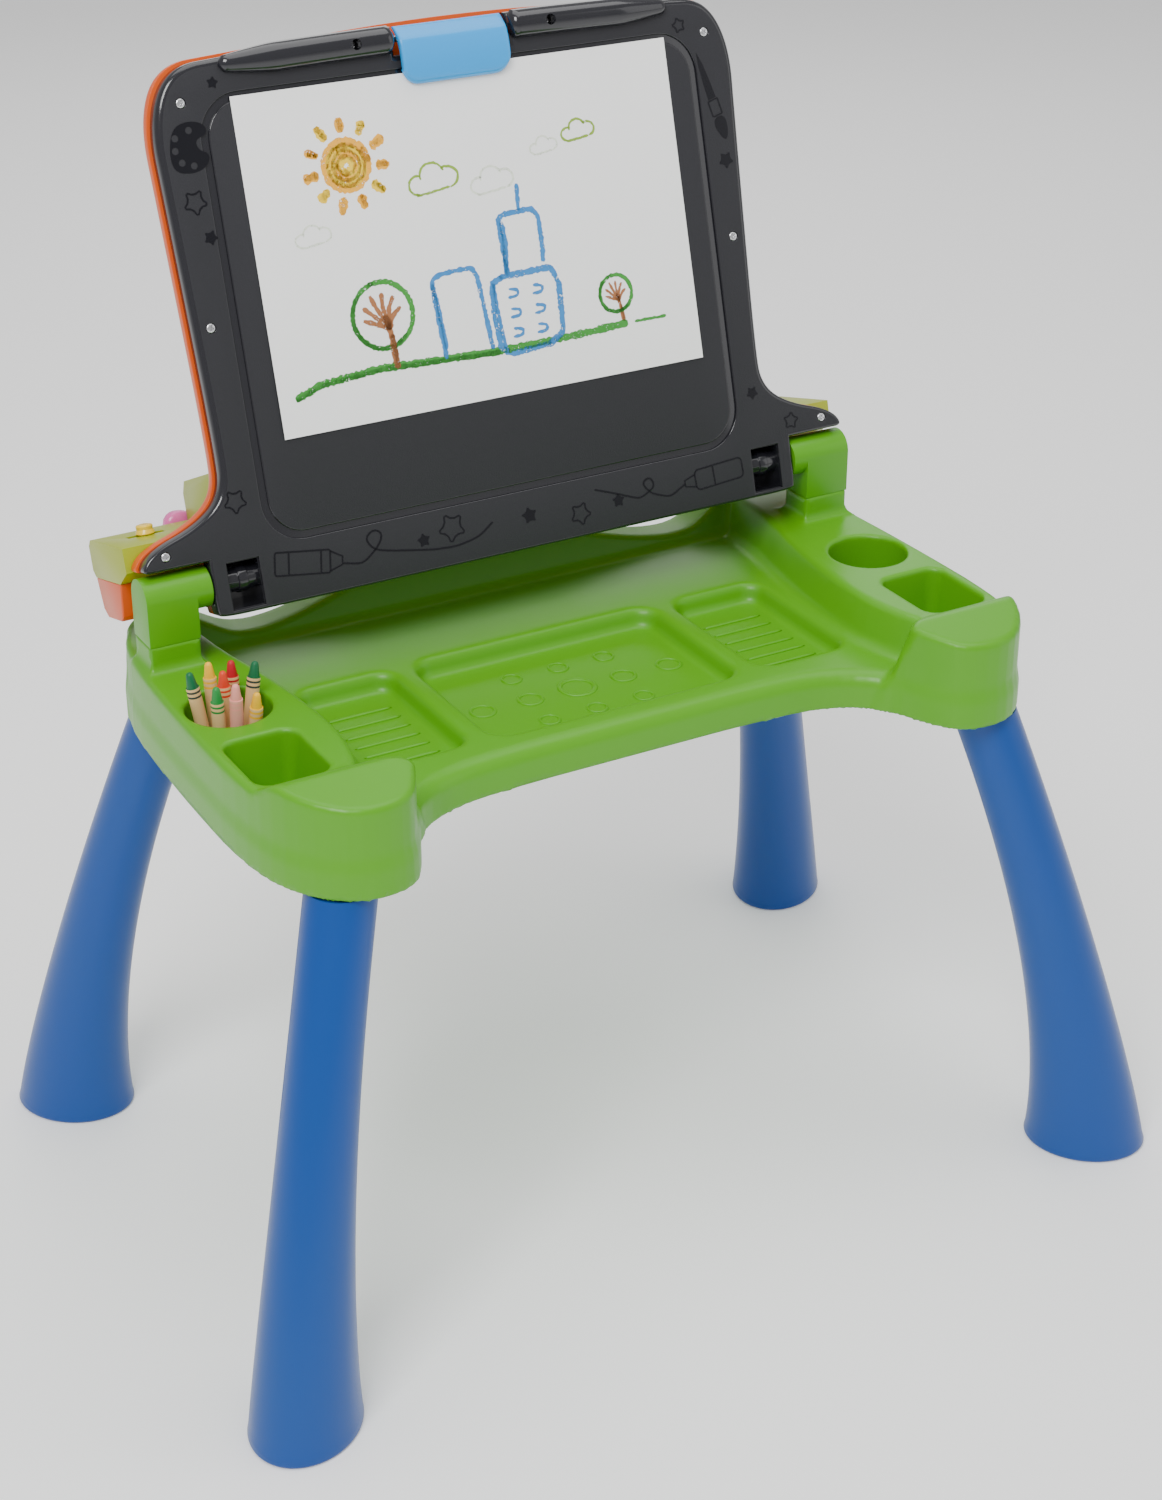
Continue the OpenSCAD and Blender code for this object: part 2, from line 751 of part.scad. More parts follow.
module battery_case() {
  color([0.2, 0.2, 0.22]) on_lid() difference() {
    box([case_x0, case_x1], [case_y0, case_y1], [console_v0 + wall + 1.2, 4]);
    box([cell_x0 - 1.6, cell_x0 + cell_len + 1.6], [case_y0 + 2, case_y1 - 2], [console_v0, 2]);
  }
}

module batteries() {
  color([0.75, 0.6, 0.2]) on_lid() for (y = [case_y0 + 10, case_y1 - 10])
    translate([0, y, console_v0 + wall + 1.8 + cell_r]) union() {
      x_rod(cell_x0, cell_x0 + cell_len - 1.2, cell_r);
      x_rod(cell_x0 + 1, cell_x0 + cell_len, 2.7);
    }
}

module battery_door() {
  color(orange) on_lid() difference() {
    box([door_x0 + 0.2, door_x1 - 0.2], [door_y0 + 0.2, door_y1 - 0.2], [console_v0, console_v0 + wall]);
    translate([door_x1 - 6, (door_y0 + door_y1) / 2, console_v0 - 1]) cylinder(r = 1.6, h = 10);
    translate([door_x1 - 6, (door_y0 + door_y1) / 2, console_v0 - 1]) cylinder(r = 2.8, h = 2.2);
  }
}

module battery_door_screw() {
  color(steel) on_lid() translate([door_x1 - 6, (door_y0 + door_y1) / 2, 0]) union() {
    translate([0, 0, console_v0 + 0.1]) cylinder(r = 2.7, h = 1.1);
    translate([0, 0, console_v0 + 1]) cylinder(r = 1.5, h = 9);
  }
}

// ---- clip ----

clip_profile = [
  [-board_t - 0.6, sheet_v1 - 7], [-board_t - 3.4, sheet_v1 - 7.5], [-board_t - 5.6, sheet_v1 - 3],
  [-board_t - 6.8, sheet_v1 + 6], [-board_t - 6.8, clip_v - 4], [-board_t - 5, clip_v + 3],
  [-board_t - 1, clip_v + 7.5], [clip_y + 1, clip_v + 7], [clip_y + 3.6, clip_v + 3.2],
  [clip_y + 4, clip_v], [clip_y + 2.8, clip_v - 3.4], [clip_y, clip_v - 4.4],
  [-board_t - 1.4, clip_v - 6.5], [-board_t - 2, sheet_v1 + 4], [-board_t - 1.6, sheet_v1 - 3]
];
module clip_jaw() {
  color(sky) on_lid() difference() {
    across_lid(-clip_w / 2, clip_w / 2) polygon(clip_profile);
    translate([0, clip_y, clip_v]) x_rod(-clip_w, clip_w, clip_pin_r + 0.05);
    translate([0, clip_y, clip_v]) x_rod(-9, 9, 4.2);
    box([-9, 9], [clip_y, 4], [clip_v - 6, clip_v + 4.2]);
  }
}

module clip_pin() {
  color(steel) on_lid() translate([0, clip_y, clip_v]) x_rod(-clip_w / 2 - 8, clip_w / 2 + 8, clip_pin_r);
}

// Torsion spring around the clip's pin, drawn as its outer sleeve
module clip_spring() {
  color(steel) on_lid() translate([0, clip_y, clip_v]) difference() {
    x_rod(-8, 8, 3.8);
    x_rod(-9, 9, clip_pin_r + 0.3);
  }
}

// ---- pieces the child moves on the console ----

module handset() {
  y0 = console_y1 + 0.4;
  color([0.80, 0.30, 0.62]) on_lid() union() {
    across_handset(handset_x0 + 8, handset_x0 + handset_len - 8, y0 + 5, y0 + 15);
    for (x = [handset_x0 + 12, handset_x0 + handset_len - 12])
      translate([x, 0, handset_v]) y_rod(y0, y0 + 14, 12);
  }
}

module across_handset(x0, x1, y0, y1) {
  box([x0, x1], [y0, y1], [handset_v - 8, handset_v + 8]);
}

module power_slider() {
  color([0.98, 0.80, 0.15]) on_lid() union() {
    box([slider_x - 5, slider_x + 5], [slider_y - 3.1, slider_y + 3.1], [console_v1 - wall - 0.5, console_v1 + 1]);
    translate([slider_x, slider_y, console_v1 + 0.4]) cylinder(r = 6, h = 6);
  }
}

module push_button(i, tint) {
  color(tint) on_lid() translate([button_xs[i], 0, button_v]) union() {
    y_rod(board_y + 5 + button_travel + 0.3, console_y1 + 3.5, button_r);
    y_rod(board_y + 5 + button_travel + 0.3, board_y + 5 + button_travel + 2, button_r + 1.4);
  }
}
module button_red() { push_button(0, [0.86, 0.18, 0.16]); }
module button_yellow() { push_button(1, [0.98, 0.80, 0.15]); }
module button_blue() { push_button(2, [0.15, 0.45, 0.80]); }
module button_purple() { push_button(3, [0.50, 0.30, 0.68]); }

tray();
hinge_cap_left();
hinge_cap_right();
hinge_pin_left();
hinge_pin_right();
hinge_screws();
leg_front_left();
leg_front_right();
leg_back_left();
leg_back_right();
crayons_dark_green();
crayons_yellow();
crayon_green();
crayon_orange_red();
crayon_crimson();
crayon_pink();
board_frame();
top_bar();
lid_shell();
hinge_barrel_left();
hinge_barrel_right();
lid_screws();
paper_sheet();
page_frame();
activity_page();
console_housing();
console_base();
display_window();
display_panel();
circuit_board();
speaker();
battery_case();
batteries();
battery_door();
battery_door_screw();
clip_jaw();
clip_pin();
clip_spring();
handset();
power_slider();
button_red();
button_yellow();
button_blue();
button_purple();
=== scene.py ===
# %% [markdown]
# # A child's activity desk
# The desk has a green storage tray, four flared legs and a lid that stands up as an easel. Most of it is injection
# moulded plastic, so the work here is in soft edges, blended corners and the slight unevenness of a moulded surface.
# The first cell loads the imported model. It gives the bodies, the joints and every part's place, in metres.

# %% Load the frame
import json
import math
import random

import bmesh
import bpy
import numpy as np
from mathutils import Matrix, Vector
from mathutils.geometry import delaunay_2d_cdt


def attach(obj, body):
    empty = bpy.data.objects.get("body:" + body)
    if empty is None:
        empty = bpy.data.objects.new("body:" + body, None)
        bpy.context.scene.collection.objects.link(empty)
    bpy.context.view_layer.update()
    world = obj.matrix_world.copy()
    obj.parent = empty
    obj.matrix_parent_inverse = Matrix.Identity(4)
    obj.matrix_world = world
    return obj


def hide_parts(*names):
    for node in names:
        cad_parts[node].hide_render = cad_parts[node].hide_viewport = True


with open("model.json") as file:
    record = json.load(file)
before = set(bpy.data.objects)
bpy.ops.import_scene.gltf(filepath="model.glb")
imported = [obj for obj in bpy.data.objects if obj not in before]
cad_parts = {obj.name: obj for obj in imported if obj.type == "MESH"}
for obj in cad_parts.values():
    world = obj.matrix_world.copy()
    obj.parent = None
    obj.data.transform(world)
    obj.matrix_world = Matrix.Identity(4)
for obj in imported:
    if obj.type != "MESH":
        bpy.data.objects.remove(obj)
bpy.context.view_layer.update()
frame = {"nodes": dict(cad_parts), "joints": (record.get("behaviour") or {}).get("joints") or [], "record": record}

MM = 0.001


def placed(name, data):
    """An object at the origin of the scene that shows a mesh, a lamp or a camera."""
    made = bpy.data.objects.new(name, data)
    bpy.context.scene.collection.objects.link(made)
    return made


# %% [markdown]
# The lid leans back, so its pieces are easiest to draw in a frame of their own: X across, Y out of its back and Z up
# along it, with the origin on the hinge line. Two joints give that frame exactly. The hinge gives the origin, and the
# way that the handset lifts off gives the direction out of the lid's back.

# %% The lid's own frame
joints = {joint["name"]: joint for joint in frame["joints"]}
hinge = Vector(joints["lid_hinge"]["pos_m"])
out_of_lid = Vector(joints["handset_lift"]["axis"]).normalized()
up_lid = Vector((1, 0, 0)).cross(out_of_lid)
LID = Matrix.Translation(hinge) @ Matrix((Vector((1, 0, 0)), out_of_lid, up_lid)).transposed().to_4x4()
TO_LID = LID.inverted()


def lid_box(node):
    """Lowest and highest corner of a node in the lid's frame, in millimetres."""
    points = [TO_LID @ v.co / MM for v in frame["nodes"][node].data.vertices]
    return [min(p[i] for p in points) for i in range(3)], [max(p[i] for p in points) for i in range(3)]


board_low, board_high = lid_box("board_frame")
print("board in the lid's frame:", [round(v) for v in board_low], [round(v) for v in board_high])

# %% [markdown]
# ## Camera and light
# A high three-quarter view from the child's left, a white sweep of floor, and large soft lamps. Large lamps matter on
# satin plastic, because what the eye reads as its finish is the soft edge of their reflections.

# %% Camera, floor and lamps
AZIMUTH = math.radians(-29.67)
ELEVATION = math.radians(27.90)
AIM = Vector((0.0231, 0.0321, hinge.z - 0.1484))
DISTANCE = 1.75
LENS = 65.3

back = Vector((math.sin(AZIMUTH) * math.cos(ELEVATION), -math.cos(AZIMUTH) * math.cos(ELEVATION), math.sin(ELEVATION)))
camera_data = bpy.data.cameras.new("camera")
camera_data.lens = LENS
camera_data.sensor_width = 36
camera = placed("camera", camera_data)
camera.location = AIM + back * DISTANCE
camera.rotation_mode = "QUATERNION"
camera.rotation_quaternion = (-back).to_track_quat("-Z", "Y")
bpy.context.scene.camera = camera


def area_lamp(name, place, aim, size, power):
    data = bpy.data.lights.new(name, "AREA")
    data.shape = "RECTANGLE"
    data.size, data.size_y = size
    data.energy = power
    lamp = bpy.data.objects.new(name, data)
    lamp.location = place
    lamp.rotation_mode = "QUATERNION"
    lamp.rotation_quaternion = (Vector(aim) - Vector(place)).to_track_quat("-Z", "Y")
    bpy.context.scene.collection.objects.link(lamp)


area_lamp("key", (-1.5, -1.3, 2.6), (0, 0, 0.4), (1.3, 1.3), 72)
area_lamp("top", (0.3, 0.2, 2.6), (0, 0, 0.3), (2.4, 1.8), 34)
area_lamp("fill", (2.2, -1.6, 1.3), (0, 0, 0.35), (1.4, 2.0), 9)
area_lamp("rim", (1.2, 2.4, 1.6), (0, 0, 0.5), (2.0, 1.2), 12)

world = bpy.data.worlds.new("studio")
world.use_nodes = True
world.node_tree.nodes["Background"].inputs["Color"].default_value = (1.0, 1.0, 1.0, 1)
world.node_tree.nodes["Background"].inputs["Strength"].default_value = 0.56
bpy.context.scene.world = world

floor_mesh = bpy.data.meshes.new("floor")
floor_mesh.from_pydata([(-9, -9, 0), (9, -9, 0), (9, 9, 0), (-9, 9, 0)], [], [(0, 1, 2, 3)])
floor = placed("floor", floor_mesh)
floor_mat = bpy.data.materials.new("floor")
floor_mat.use_nodes = True
floor_mat.node_tree.nodes["Principled BSDF"].inputs["Base Color"].default_value = (0.96, 0.96, 0.96, 1)
floor_mat.node_tree.nodes["Principled BSDF"].inputs["Roughness"].default_value = 0.7
floor_mat.node_tree.nodes["Principled BSDF"].inputs["Emission Color"].default_value = (1, 1, 1, 1)
floor_mat.node_tree.nodes["Principled BSDF"].inputs["Emission Strength"].default_value = 0.12
floor_mesh.materials.append(floor_mat)
print("camera at", [round(v, 3) for v in camera.location])

# %% [markdown]
# ## Plastics
# A moulded part is never one flat colour. The pigment drifts a little, the tool leaves a fine grain, and handling
# leaves faint rubbed marks. Each of those is a node group, built once, with its sizes as inputs, so that every plastic
# on the desk is the same recipe at its own strength. Groups give out only colours, values and heights; the shader
# itself stays in each material.

# %% Node group helpers


def new_group(name, inputs, outputs):
    """An empty shader group. inputs and outputs are (name, kind, default) and (name, kind)."""
    tree = bpy.data.node_groups.new(name, "ShaderNodeTree")
    for label, kind, default in inputs:
        socket = tree.interface.new_socket(label, in_out="INPUT", socket_type=kind)
        socket.default_value = default
    for label, kind in outputs:
        tree.interface.new_socket(label, in_out="OUTPUT", socket_type=kind)
    return tree, tree.nodes.new("NodeGroupInput"), tree.nodes.new("NodeGroupOutput")


def blank_material(name):
    """A new material with its node tree and its shader."""
    mat = bpy.data.materials.new(name)
    mat.use_nodes = True
    return mat, mat.node_tree, mat.node_tree.nodes["Principled BSDF"]


def read_object_coords(tree, *nodes):
    """Lets each node's pattern sit still on the piece."""
    coords = tree.nodes.new("ShaderNodeTexCoord")
    for node in nodes:
        tree.links.new(coords.outputs["Object"], node.inputs["Vector"])


def noise(tree, scale, detail, rough=0.55):
    node = tree.nodes.new("ShaderNodeTexNoise")
    node.inputs["Scale"].default_value = scale
    node.inputs["Detail"].default_value = detail
    node.inputs["Roughness"].default_value = rough
    return node


def remap(tree, value, low, high, to_low, to_high):
    node = tree.nodes.new("ShaderNodeMapRange")
    tree.links.new(value, node.inputs["Value"])
    for label, number in zip(("From Min", "From Max", "To Min", "To Max"), (low, high, to_low, to_high)):
        node.inputs[label].default_value = number
    return node.outputs["Result"]


def math_node(tree, operation, a, b):
    node = tree.nodes.new("ShaderNodeMath")
    node.operation = operation
    for socket, value in zip(node.inputs, (a, b)):
        if isinstance(value, (int, float)):
            socket.default_value = value
        else:
            tree.links.new(value, socket)
    return node.outputs[0]


def mix_colour(tree, factor, a, b):
    node = tree.nodes.new("ShaderNodeMix")
    node.data_type = "RGBA"
    for socket, value in ((node.inputs[0], factor), (node.inputs[6], a), (node.inputs[7], b)):
        if isinstance(value, (int, float, tuple)):
            socket.default_value = value
        else:
            tree.links.new(value, socket)
    return node.outputs[2]


# %% Moulded plastic, rubbed marks and fine tooth, as groups


def moulded_group():
    tree, source, sink = new_group(
        "moulded_plastic",
        [("Color", "NodeSocketColor", (0.5, 0.5, 0.5, 1)), ("Drift", "NodeSocketFloat", 0.06),
         ("Roughness", "NodeSocketFloat", 0.4), ("Grain Scale", "NodeSocketFloat", 1400.0)],
        [("Color", "NodeSocketColor"), ("Roughness", "NodeSocketFloat"), ("Height", "NodeSocketFloat")])
    flow = noise(tree, 9.0, 3.0)
    grain = noise(tree, 1400.0, 2.0)
    read_object_coords(tree, flow, grain)
    tree.links.new(source.outputs["Grain Scale"], grain.inputs["Scale"])
    centred = math_node(tree, "SUBTRACT", flow.outputs["Fac"], 0.5)
    shift = math_node(tree, "MULTIPLY", centred, source.outputs["Drift"])
    hue = tree.nodes.new("ShaderNodeHueSaturation")
    tree.links.new(source.outputs["Color"], hue.inputs["Color"])
    tree.links.new(math_node(tree, "ADD", shift, 1.0), hue.inputs["Value"])
    tree.links.new(math_node(tree, "ADD", math_node(tree, "MULTIPLY", shift, 0.08), 0.5), hue.inputs["Hue"])
    tree.links.new(hue.outputs["Color"], sink.inputs["Color"])
    wobble = math_node(tree, "MULTIPLY", math_node(tree, "SUBTRACT", grain.outputs["Fac"], 0.5), 0.16)
    patches = math_node(tree, "ADD", math_node(tree, "MULTIPLY", centred, 0.12), wobble)
    tree.links.new(math_node(tree, "ADD", source.outputs["Roughness"], patches), sink.inputs["Roughness"])
    tree.links.new(grain.outputs["Fac"], sink.inputs["Height"])
    return tree


def rubbed_group():
    tree, source, sink = new_group(
        "rubbed_marks", [("Amount", "NodeSocketFloat", 0.3), ("Scale", "NodeSocketFloat", 30.0)],
        [("Mask", "NodeSocketFloat")])
    streaks = None
    for turn in (0.5, 2.1):
        mapping = tree.nodes.new("ShaderNodeMapping")
        mapping.inputs["Rotation"].default_value = (0.3, 0.2, turn)
        mapping.inputs["Scale"].default_value = (1.0, 14.0, 3.0)
        read_object_coords(tree, mapping)
        lines = noise(tree, 30.0, 5.0, 0.62)
        tree.links.new(mapping.outputs["Vector"], lines.inputs["Vector"])
        tree.links.new(source.outputs["Scale"], lines.inputs["Scale"])
        band = remap(tree, lines.outputs["Fac"], 0.62, 0.74, 0.0, 1.0)
        streaks = band if streaks is None else math_node(tree, "MAXIMUM", streaks, band)
    where = noise(tree, 14.0, 2.0)
    read_object_coords(tree, where)
    patch = remap(tree, where.outputs["Fac"], 0.48, 0.62, 0.0, 1.0)
    mask = math_node(tree, "MULTIPLY", streaks, patch)
    tree.links.new(math_node(tree, "MULTIPLY", mask, source.outputs["Amount"]), sink.inputs["Mask"])
    return tree


MOULDED = moulded_group()
RUBBED = rubbed_group()
print("groups:", MOULDED.name, RUBBED.name)

# %% One recipe for every plastic


def place_group(tree, group, **values):
    node = tree.nodes.new("ShaderNodeGroup")
    node.node_tree = group
    for label, value in values.items():
        node.inputs[label.replace("_", " ")].default_value = value
    return node


def bump(tree, height, strength, distance):
    node = tree.nodes.new("ShaderNodeBump")
    node.inputs["Strength"].default_value = strength
    node.inputs["Distance"].default_value = distance
    tree.links.new(height, node.inputs["Height"])
    return node.outputs["Normal"]


def plastic(name, colour, rough=0.4, drift=0.06, grain=1400.0, tooth=0.12, rubbed=0.25, coat=0.0):
    """A moulded plastic: drifting pigment, fine tooth and faint rubbed marks."""
    mat, tree, shader = blank_material(name)
    base = place_group(tree, MOULDED, Color=(*colour, 1), Drift=drift, Roughness=rough, Grain_Scale=grain)
    marks = place_group(tree, RUBBED, Amount=rubbed)
    lighter = tuple(min(1.0, c * 1.12 + 0.004) for c in colour) + (1,)
    tree.links.new(mix_colour(tree, marks.outputs["Mask"], base.outputs["Color"], lighter), shader.inputs["Base Color"])
    rougher = math_node(tree, "ADD", base.outputs["Roughness"], math_node(tree, "MULTIPLY", marks.outputs["Mask"], 0.3))
    tree.links.new(rougher, shader.inputs["Roughness"])
    tree.links.new(bump(tree, base.outputs["Height"], tooth, 0.0003), shader.inputs["Normal"])
    shader.inputs["Coat Weight"].default_value = coat
    shader.inputs["Coat Roughness"].default_value = 0.12
    shader.inputs["IOR"].default_value = 1.45
    shader.inputs["Specular IOR Level"].default_value = 0.42
    return mat


GREEN = plastic("green_moulding", (0.085, 0.335, 0.004), rough=0.38, drift=0.08, tooth=0.06, coat=0.04)
BLUE = plastic("blue_moulding", (0.0, 0.056, 0.275), rough=0.34, drift=0.08, tooth=0.10, coat=0.04)
CHARCOAL = plastic("charcoal_textured", (0.021, 0.021, 0.025), rough=0.58, drift=0.08, grain=1100.0, tooth=0.45)
GLOSS_BLACK = plastic("polished_black", (0.012, 0.012, 0.016), rough=0.16, drift=0.04, tooth=0.02, rubbed=0.12,
                      coat=0.6)
INK_BLACK = plastic("smooth_inlay", (0.003, 0.003, 0.006), rough=0.30, drift=0.03, tooth=0.05, rubbed=0.1)
ORANGE = plastic("orange_moulding", (0.66, 0.085, 0.003), rough=0.34, drift=0.07, tooth=0.05, coat=0.1)
LIME = plastic("lime_moulding", (0.33, 0.39, 0.006), rough=0.34, drift=0.06, tooth=0.05, coat=0.1)
SKY = plastic("sky_moulding", (0.010, 0.33, 0.80), rough=0.24, drift=0.05, tooth=0.03, coat=0.3)
YELLOW = plastic("yellow_moulding", (0.93, 0.62, 0.03), rough=0.25, tooth=0.03, coat=0.4)
PINK = plastic("pink_moulding", (0.72, 0.13, 0.40), rough=0.26, tooth=0.03, coat=0.4)
RED = plastic("red_moulding", (0.72, 0.035, 0.03), rough=0.25, tooth=0.03, coat=0.4)
PURPLE = plastic("purple_moulding", (0.22, 0.075, 0.42), rough=0.26, tooth=0.03, coat=0.4)
KEY_BLUE = plastic("key_blue_moulding", (0.03, 0.20, 0.66), rough=0.25, tooth=0.03, coat=0.4)
DARK = plastic("plain_dark_moulding", (0.03, 0.03, 0.034), rough=0.5, tooth=0.2)
BOARD_GREEN = plastic("solder_resist", (0.012, 0.14, 0.05), rough=0.32, grain=500.0, tooth=0.2, coat=0.3)
print("plastics ready")

# %% [markdown]
# ## Metals
# The screws and pins are plain zinc-plated and drawn steel. The plating shows as fine speckle in its gloss, and a
# drawn rod shows lines along its length, so both come from noise that drives the roughness.

# %% Steel and cell wrappers


def steel(name, colour, rough, stretch):
    mat, tree, shader = blank_material(name)
    mapping = tree.nodes.new("ShaderNodeMapping")
    mapping.inputs["Scale"].default_value = stretch
    read_object_coords(tree, mapping)
    lines = noise(tree, 900.0, 4.0)
    tree.links.new(mapping.outputs["Vector"], lines.inputs["Vector"])
    tree.links.new(remap(tree, lines.outputs["Fac"], 0.3, 0.7, rough - 0.1, rough + 0.12), shader.inputs["Roughness"])
    darker = tuple(c * 0.8 for c in colour) + (1,)
    tree.links.new(mix_colour(tree, lines.outputs["Fac"], darker, (*colour, 1)), shader.inputs["Base Color"])
    tree.links.new(bump(tree, lines.outputs["Fac"], 0.15, 0.0001), shader.inputs["Normal"])
    shader.inputs["Metallic"].default_value = 1.0
    return mat


ZINC = steel("zinc_plate", (0.80, 0.80, 0.82), 0.24, (1, 1, 1))
DRAWN = steel("drawn_steel", (0.62, 0.62, 0.64), 0.3, (0.05, 1, 1))
BRASSY = steel("cell_wrapper", (0.62, 0.42, 0.10), 0.32, (0.3, 1, 1))
print("metals ready")

# %% [markdown]
# ## Making and keeping a piece
# Every piece below ends the same way: its mesh is put in the scene at the origin, given a material and told which body
# it rides on, and a part of the model that it replaces is hidden. One function does that, so nothing is forgotten.

# %% Piece helpers


def full_turn(count):
    """Evenly spaced angles round a full turn."""
    return [2 * math.pi * i / count for i in range(count)]


body_of_node = {node: body for body, nodes in frame["record"]["behaviour"]["bodies"].items() for node in nodes}


def keep(name, mesh, node, material, replace=True, smooth=True):
    """Adds a finished mesh as a piece that takes its body from a node of the model."""
    piece = placed(name, mesh)
    for mat in material if isinstance(material, (list, tuple)) else [material]:
        mesh.materials.append(mat)
    if smooth:
        mesh.shade_smooth()
    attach(piece, body_of_node[node])
    if replace:
        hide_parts(node)
    return piece


def sharpen(mesh, degrees=32):
    """Marks edges sharper than an angle, so that flat faces stay flat beside smooth ones."""
    mesh.shade_smooth()
    mesh.set_sharp_from_angle(angle=math.radians(degrees))


def to_mesh(bm, name):
    bmesh.ops.recalc_face_normals(bm, faces=bm.faces)
    mesh = bpy.data.meshes.new(name)
    bm.to_mesh(mesh)
    bm.free()
    return mesh


def stitch(bm, low, high, material=0):
    """Four-sided faces between two closed rings of corners."""
    n = len(low)
    for i in range(n):
        bm.faces.new((low[i], low[(i + 1) % n], high[(i + 1) % n], high[i])).material_index = material


def baked(obj, name):
    """The evaluated result of an object's modifiers as a plain mesh; the object is removed."""
    graph = bpy.context.evaluated_depsgraph_get()
    mesh = bpy.data.meshes.new_from_object(obj.evaluated_get(graph))
    mesh.name = name
    bpy.data.objects.remove(obj)
    return mesh


def refinish(node, mat):
    """Gives a CAD node that is right as it is its finish."""
    obj = frame["nodes"][node]
    obj.data.materials.clear()
    obj.data.materials.append(mat)


def softened(node, material, width, segments=3):
    """A copy of a node with its flat faces joined up again and its edges rounded."""
    bm = bmesh.new()
    bm.from_mesh(frame["nodes"][node].data)
    bmesh.ops.remove_doubles(bm, verts=bm.verts, dist=2e-6)
    bmesh.ops.dissolve_limit(bm, angle_limit=math.radians(1), verts=bm.verts, edges=bm.edges)
    mesh = bpy.data.meshes.new(node + "_soft")
    bm.to_mesh(mesh)
    bm.free()
    work = placed("work", mesh)
    bevel = work.modifiers.new("edges", "BEVEL")
    bevel.width = width * MM
    bevel.segments = segments
    bevel.limit_method = "ANGLE"
    bevel.angle_limit = math.radians(30)
    bevel.harden_normals = False
    mesh = baked(work, node + "_soft")
    sharpen(mesh, 40)
    return keep(node + "_moulding", mesh, node, material, smooth=False)


# %% [markdown]
# ## The tray
# The tray is one moulding that flows: wings blend into the deck, the walls of every pocket lean and meet their floors
# in a curve, and the wing tips swell into pads. Bevels on a boxy mesh can't make such blends. A distance field can:
# each shape is a function that says how far a point is from its surface, smooth minimums join shapes with a fillet,
# and the surface is where the result is zero. The mesh is then drawn through that surface on a fine grid.

# %% Distance helpers
TRAY_W = 514.0
TRAY_FRONT = 153.0
TRAY_BACK = 160.0
WING_Z = hinge.z / MM - 44
DECK_Z = WING_Z - 26
SKIRT_Z = DECK_Z - 24
WALL = 4.6
HALF_W = TRAY_W / 2


def cut_corners(points, passes):
    """Rounds a closed outline by cutting its corners again and again."""
    points = np.array(points, float)
    for _ in range(passes):
        after = np.roll(points, -1, axis=0)
        points = np.stack([points * 0.75 + after * 0.25, points * 0.25 + after * 0.75], 1).reshape(-1, 2)
    return points


def mirrored(right):
    """Closes the right half of an outline, whose ends lie on the middle line, with its mirror image."""
    return list(right) + [(-x, y) for x, y in right[-2:0:-1]]


def outline_distance(x, y, outline):
    """Signed distance from points to a closed outline, negative inside."""
    best = np.full(np.broadcast(x, y).shape, 1e9)
    inside = np.zeros(best.shape, bool)
    for (ax, ay), (bx, by) in zip(outline, np.roll(outline, -1, axis=0)):
        ex, ey = bx - ax, by - ay
        t = np.clip(((x - ax) * ex + (y - ay) * ey) / (ex * ex + ey * ey), 0, 1)
        best = np.minimum(best, (x - ax - t * ex) ** 2 + (y - ay - t * ey) ** 2)
        crosses = ((ay > y) != (by > y)) & (x < ex * (y - ay) / (ey if abs(ey) > 1e-9 else 1e-9) + ax)
        inside ^= crosses
    return np.where(inside, -1, 1) * np.sqrt(best)


def soft_min(a, b, k):
    h = np.clip(0.5 + 0.5 * (b - a) / k, 0, 1)
    return b * (1 - h) + a * h - k * h * (1 - h)


def soft_max(a, b, k):
    return -soft_min(-a, -b, k)


def capped(plan, height, r):
    """A wall of distance plan under a cap at height 0, with its top edge rounded by r."""
    a, b = plan + r, height + r
    return np.minimum(np.maximum(a, b), 0) + np.hypot(np.maximum(a, 0), np.maximum(b, 0)) - r


def rounded_rect(x, y, cx, cy, hx, hy, r):
    qx, qy = np.abs(x - cx) - hx + r, np.abs(y - cy) - hy + r
    return np.minimum(np.maximum(qx, qy), 0) + np.hypot(np.maximum(qx, 0), np.maximum(qy, 0)) - r


def step(t):
    t = np.clip(t, 0, 1)
    return t * t * (3 - 2 * t)


# %% The tray as a distance
tray_right = [
    (0, -80), (HALF_W - 162, -80), (HALF_W - 122, -86), (HALF_W - 94, -106), (HALF_W - 84, 22 - TRAY_FRONT),
    (HALF_W - 70, 0.5 - TRAY_FRONT), (HALF_W - 36, -TRAY_FRONT), (HALF_W - 10, 28 - TRAY_FRONT),
    (HALF_W, 70 - TRAY_FRONT), (HALF_W, -10), (HALF_W - 2, 50), (HALF_W - 5, TRAY_BACK - 68),
    (HALF_W - 14, TRAY_BACK - 30), (HALF_W - 34, TRAY_BACK - 6), (HALF_W - 70, TRAY_BACK),
    (HALF_W - 110, TRAY_BACK - 8), (90, TRAY_BACK - 4), (0, TRAY_BACK)]
TRAY_OUTLINE = cut_corners(mirrored(tray_right), 2)
WING_IN = HALF_W - 75
WING_EDGE = cut_corners([
    (WING_IN + 22, 200), (WING_IN + 19, 100), (WING_IN + 5, 30), (WING_IN - 2, -40), (WING_IN + 6, -84),
    (WING_IN + 14, -98), (WING_IN - 6, -108), (WING_IN - 20, -126), (WING_IN - 28, -200), (400, -200), (400, 200)], 2)
CUP_X, CUP_Y, CUP_R, CUP_FLOOR = HALF_W - 32, 9, 25.5, SKIRT_Z + 4
BIN = dict(cx=HALF_W - 31, cy=-61, hx=23, hy=29)
BIN_FLOOR = SKIRT_Z + 9
RECESS_FLOOR = DECK_Z - 12
BLOCK_X = (HALF_W - 41 + HALF_W - 9) / 2
HINGE_Y = hinge.y / MM
